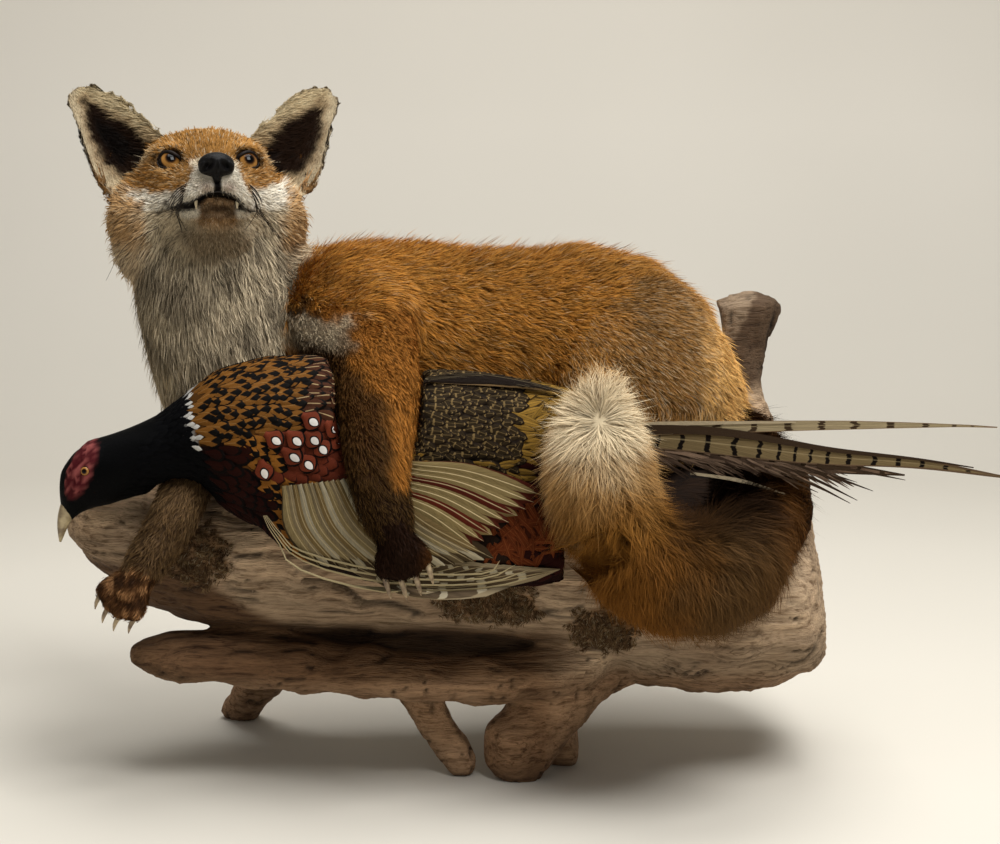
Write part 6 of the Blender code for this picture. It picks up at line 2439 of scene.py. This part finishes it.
@dataclass
class Driftwood:
    """The log with its roots and snag, as one weathered body."""

    voxel: float = 0.0028

    def build(self) -> None:
        """The wood and its moss."""
        shapes = [node_shape(node, 0.0011) for node in WOOD_NODES]
        # the painted shadow in the gap between the log and the branch, filled out as a dark ball
        shapes.append(ball(np.array(GAP_SHADOW_FILL), np.array(GAP_SHADOW_REACH)))
        shape = remeshed(joined(shapes), self.voxel)
        edges = shape.edges()
        shape.points = spread(edges, shape.points, 5)
        normals = unit(spread(edges, shape.normals(), 3))
        x, y, z = shape.points.T
        upright = np.maximum(ease(0.092, 0.07, z), ease(0.262, 0.285, z))[:, None]
        stretch = blend(np.tile((0.14, 1.0, 1.0), (len(x), 1)), np.array((1.0, 1.0, 0.14)),
            upright.ravel())
        places = shape.points * stretch
        ridge = 0.65 * waves(places, 0.01, 91) + 0.35 * waves(places, 0.0055, 92)
        lump = waves(shape.points, 0.045, 93)
        split = np.exp(-(waves(places, 0.024, 94) / 0.1) ** 2) * ease(-0.1, 0.4, lump)
        front = ease(-0.02, -0.05, y)
        reach = np.full(len(x), 1.0)
        for (a, b), (c, d) in zip(CRACK, CRACK[1:]):
            run = np.array((c - a, d - b))
            t = np.clip(((x - a) * run[0] + (z - b) * run[1]) / (run @ run), 0, 1)
            reach = np.minimum(reach, np.hypot(x - a - t * run[0], z - b - t * run[1]))
        crack = np.exp(-(reach / 0.0019) ** 2) * front
        ledge = np.exp(-((reach - 0.006) / 0.004) ** 2) * front
        lift = 0.0006 * ridge + 0.0016 * lump - 0.002 * split - 0.0045 * crack + 0.0008 * ledge
        joint = ease(0.16, 0.13, np.abs(x + 0.06)) * ease(0.02, 0.01, np.abs(z - 0.118))
        lift = blend(lift[:, None], np.maximum(lift, 0)[:, None] + 0.0012, joint).ravel()
        shape.points = shape.points + normals * lift[:, None]
        # tints and painted shade of the bare wood, then the moss
        tint_and_shade = self.tint_and_shade(shape.points, normals, ridge, np.clip(split + crack, 0, 1))
        moss = Bark.patch(shape.points)
        tint_and_shade = blend(tint_and_shade, np.array((0.46, 0.37, 0.28)), moss)
        piece = new_piece("driftwood", shape, WoodFinish().build(), "driftwood",
            colours={"tint_and_shade": tint_and_shade})
        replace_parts(piece, *WOOD_NODES)
        bark = Bark(Shape(shape.points, shape.triangles()), normals)
        faces = np.flatnonzero(moss[bark.shape.faces[:, 0]] > 0.05)
        Coat("moss", bark, faces, 10000, bark.unwrap, "driftwood", seed=131).build(bark.style)

    @staticmethod
    def tint_and_shade(points: Array, normals: Array, ridge: Array, split: Array) -> Array:
        """How the bare wood is tinted and shaded: dark in cracks and warm on the roots, with painted
        shade on the faces that turn down, under the bird's tail and in the gap between the log and the
        branch.
        """
        x, y, z = points.T
        rows = np.tile((1.06, 1.05, 1.04), (len(x), 1)) * (1.0 + 0.14 * ridge)[:, None]
        rows = rows * (1 - 0.12 * ease(0.02, 0.1, x))[:, None]
        branch = ease(0.118, 0.104, z - 0.05 * ease(-0.15, -0.25, x))
        rows = blend(rows, np.array((0.34, 0.255, 0.19)), branch * ease(0.05, 0.0, x))
        feet = ease(0.085, 0.07, z)
        rows = blend(rows, np.array((0.84, 0.72, 0.63)), feet)
        knob = ease(0.03, 0.018, np.abs(x - (-0.007))) * feet
        rows = blend(rows, np.array((0.58, 0.46, 0.37)), knob * 0.85)
        # painted shade: faces that turn down are darkened
        under = ease(0.1, -0.55, normals[:, 2])
        rows = rows * (1 - 0.38 * under)[:, None]
        # painted shadow: the wood in the hollow under the bird's tail is made near black
        hollow = np.hypot((x - 0.106) / 0.046, (z - 0.214) / 0.024)
        rows = blend(rows, np.array((0.036, 0.022, 0.013)), ease(1.25, 0.9, hollow))
        # painted shadow: the fill in the gap between the log and the branch is made dark
        gap = np.hypot((x - GAP_SHADOW_FILL[0]) / GAP_SHADOW_REACH[0], np.hypot((y - GAP_SHADOW_FILL[1]) / GAP_SHADOW_REACH[1],
            (z - GAP_SHADOW_FILL[2]) / GAP_SHADOW_REACH[2]))
        rows = blend(rows, np.array((0.08, 0.06, 0.045)), ease(1.5, 1.1, gap))
        nose = ease(-0.225, -0.255, x) * ease(0.195, 0.215, z)
        rows = blend(rows, np.array((1.35, 1.22, 1.05)), nose * 0.7)
        snag = ease(0.27, 0.3, z)
        rows = rows * (1 - 0.45 * snag)[:, None]
        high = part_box("wood_snag")[1]
        over = x - high[0] + 0.022 + 0.54 * (high[2] - z) + 0.002 * ridge
        rows = blend(rows, np.array((0.17, 0.14, 0.12)), ease(0.25, 0.27, z) * ease(-0.002, 0.002, over)
            * 0.95)
        return np.clip(rows * (1 - 0.8 * split)[:, None], 0, 1.6)


# ---------------------------------------------------------------- the studio

@dataclass(frozen=True)
class Studio:
    """The pale sweep, the lights and the camera."""

    down: float = radians(8)
    camera_place: tuple = (-0.01783, -1.2639, 0.4279)
    lens: float = 65.0

    def backdrop(self) -> None:
        """A floor that curves up into a wall."""
        profile = [(-3.0, 0.0), (1.2, 0.0)]
        profile += [(1.2 + 0.9 * sin(a), 0.9 - 0.9 * cos(a)) for a in np.linspace(0.1, pi / 2, 12)]
        profile.append((2.1, 4.0))
        rows = np.array([[(x, y, z) for x in (-5.0, 5.0)] for y, z in profile]).reshape(-1, 3)
        k = np.arange(len(profile) - 1)[:, None] * 2
        faces = np.hstack([k, k + 1, k + 3, k + 2])
        nodes = Nodes("paper_sweep", Roughness=0.9, Specular_IOR_Level=0.1)
        cloud = nodes.noise(1.5, 2.0)
        paper = nodes.ramp(cloud, [(0.3, linear(226, 220, 208)), (0.7, linear(230, 224, 212))])
        # painted shade: the floor part of the paper is darkened to 0.86, reaching full brightness half a
        # metre up the sweep
        rise = nodes.parts(nodes.stretched((1.0, 1.0, 1.0)))[2]
        low = nodes.ramp(rise, [(0.0, (0.86, 0.86, 0.85)), (0.5, (1, 1, 1))])
        nodes.colour(nodes.mix(1.0, paper, low, "MULTIPLY"))
        mesh = mesh_of("floor", Shape(rows, faces))
        mesh.materials.append(nodes.material)
        placed("floor", mesh)

    def lamp(self, name: str, place: tuple, aim: tuple, size: float, power: float) -> None:
        """A square soft light."""
        light = bpy.data.lights.new(name, "AREA")
        light.size = size
        light.energy = power
        lamp = placed(name, light)
        lamp.location = place
        lamp.rotation_euler = (Vector(aim) - Vector(place)).to_track_quat("-Z", "Y").to_euler()

    def build(self) -> None:
        """The whole studio."""
        self.backdrop()
        self.lamp("key", (0.6, -0.88, 1.9), (0.0, 0.0, 0.2), 0.9, 38.0)
        self.lamp("top", (0.0, 0.15, 2.3), (0.0, 0.0, 0.2), 1.4, 33.0)
        world = bpy.data.worlds.new("soft_room")
        world.use_nodes = True
        air = world.node_tree.nodes["Background"].inputs
        air["Color"].default_value = (1.0, 0.99, 0.97, 1)
        air["Strength"].default_value = 0.23
        scene = bpy.context.scene
        scene.world = world
        scene.view_settings.view_transform = "Standard"
        data = bpy.data.cameras.new("camera")
        data.sensor_width = 36.0
        data.lens = self.lens
        camera = placed("camera", data)
        camera.location = self.camera_place
        camera.rotation_euler = (pi / 2 - self.down, 0, 0)
        scene.camera = camera


def main() -> None:
    """Builds the model piece by piece."""
    logging.basicConfig(level=logging.INFO, format="%(name)s: %(message)s")
    Driftwood().build()
    Pheasant().build()
    around = joined([node_shape(node) for node in (*WOOD_NODES, "pheasant")]).tree()
    skin = Skin()
    skin.build()
    Pelt(skin, around).build()
    Face(skin).build()
    Studio().build()


if __name__ == "__main__":
    main()
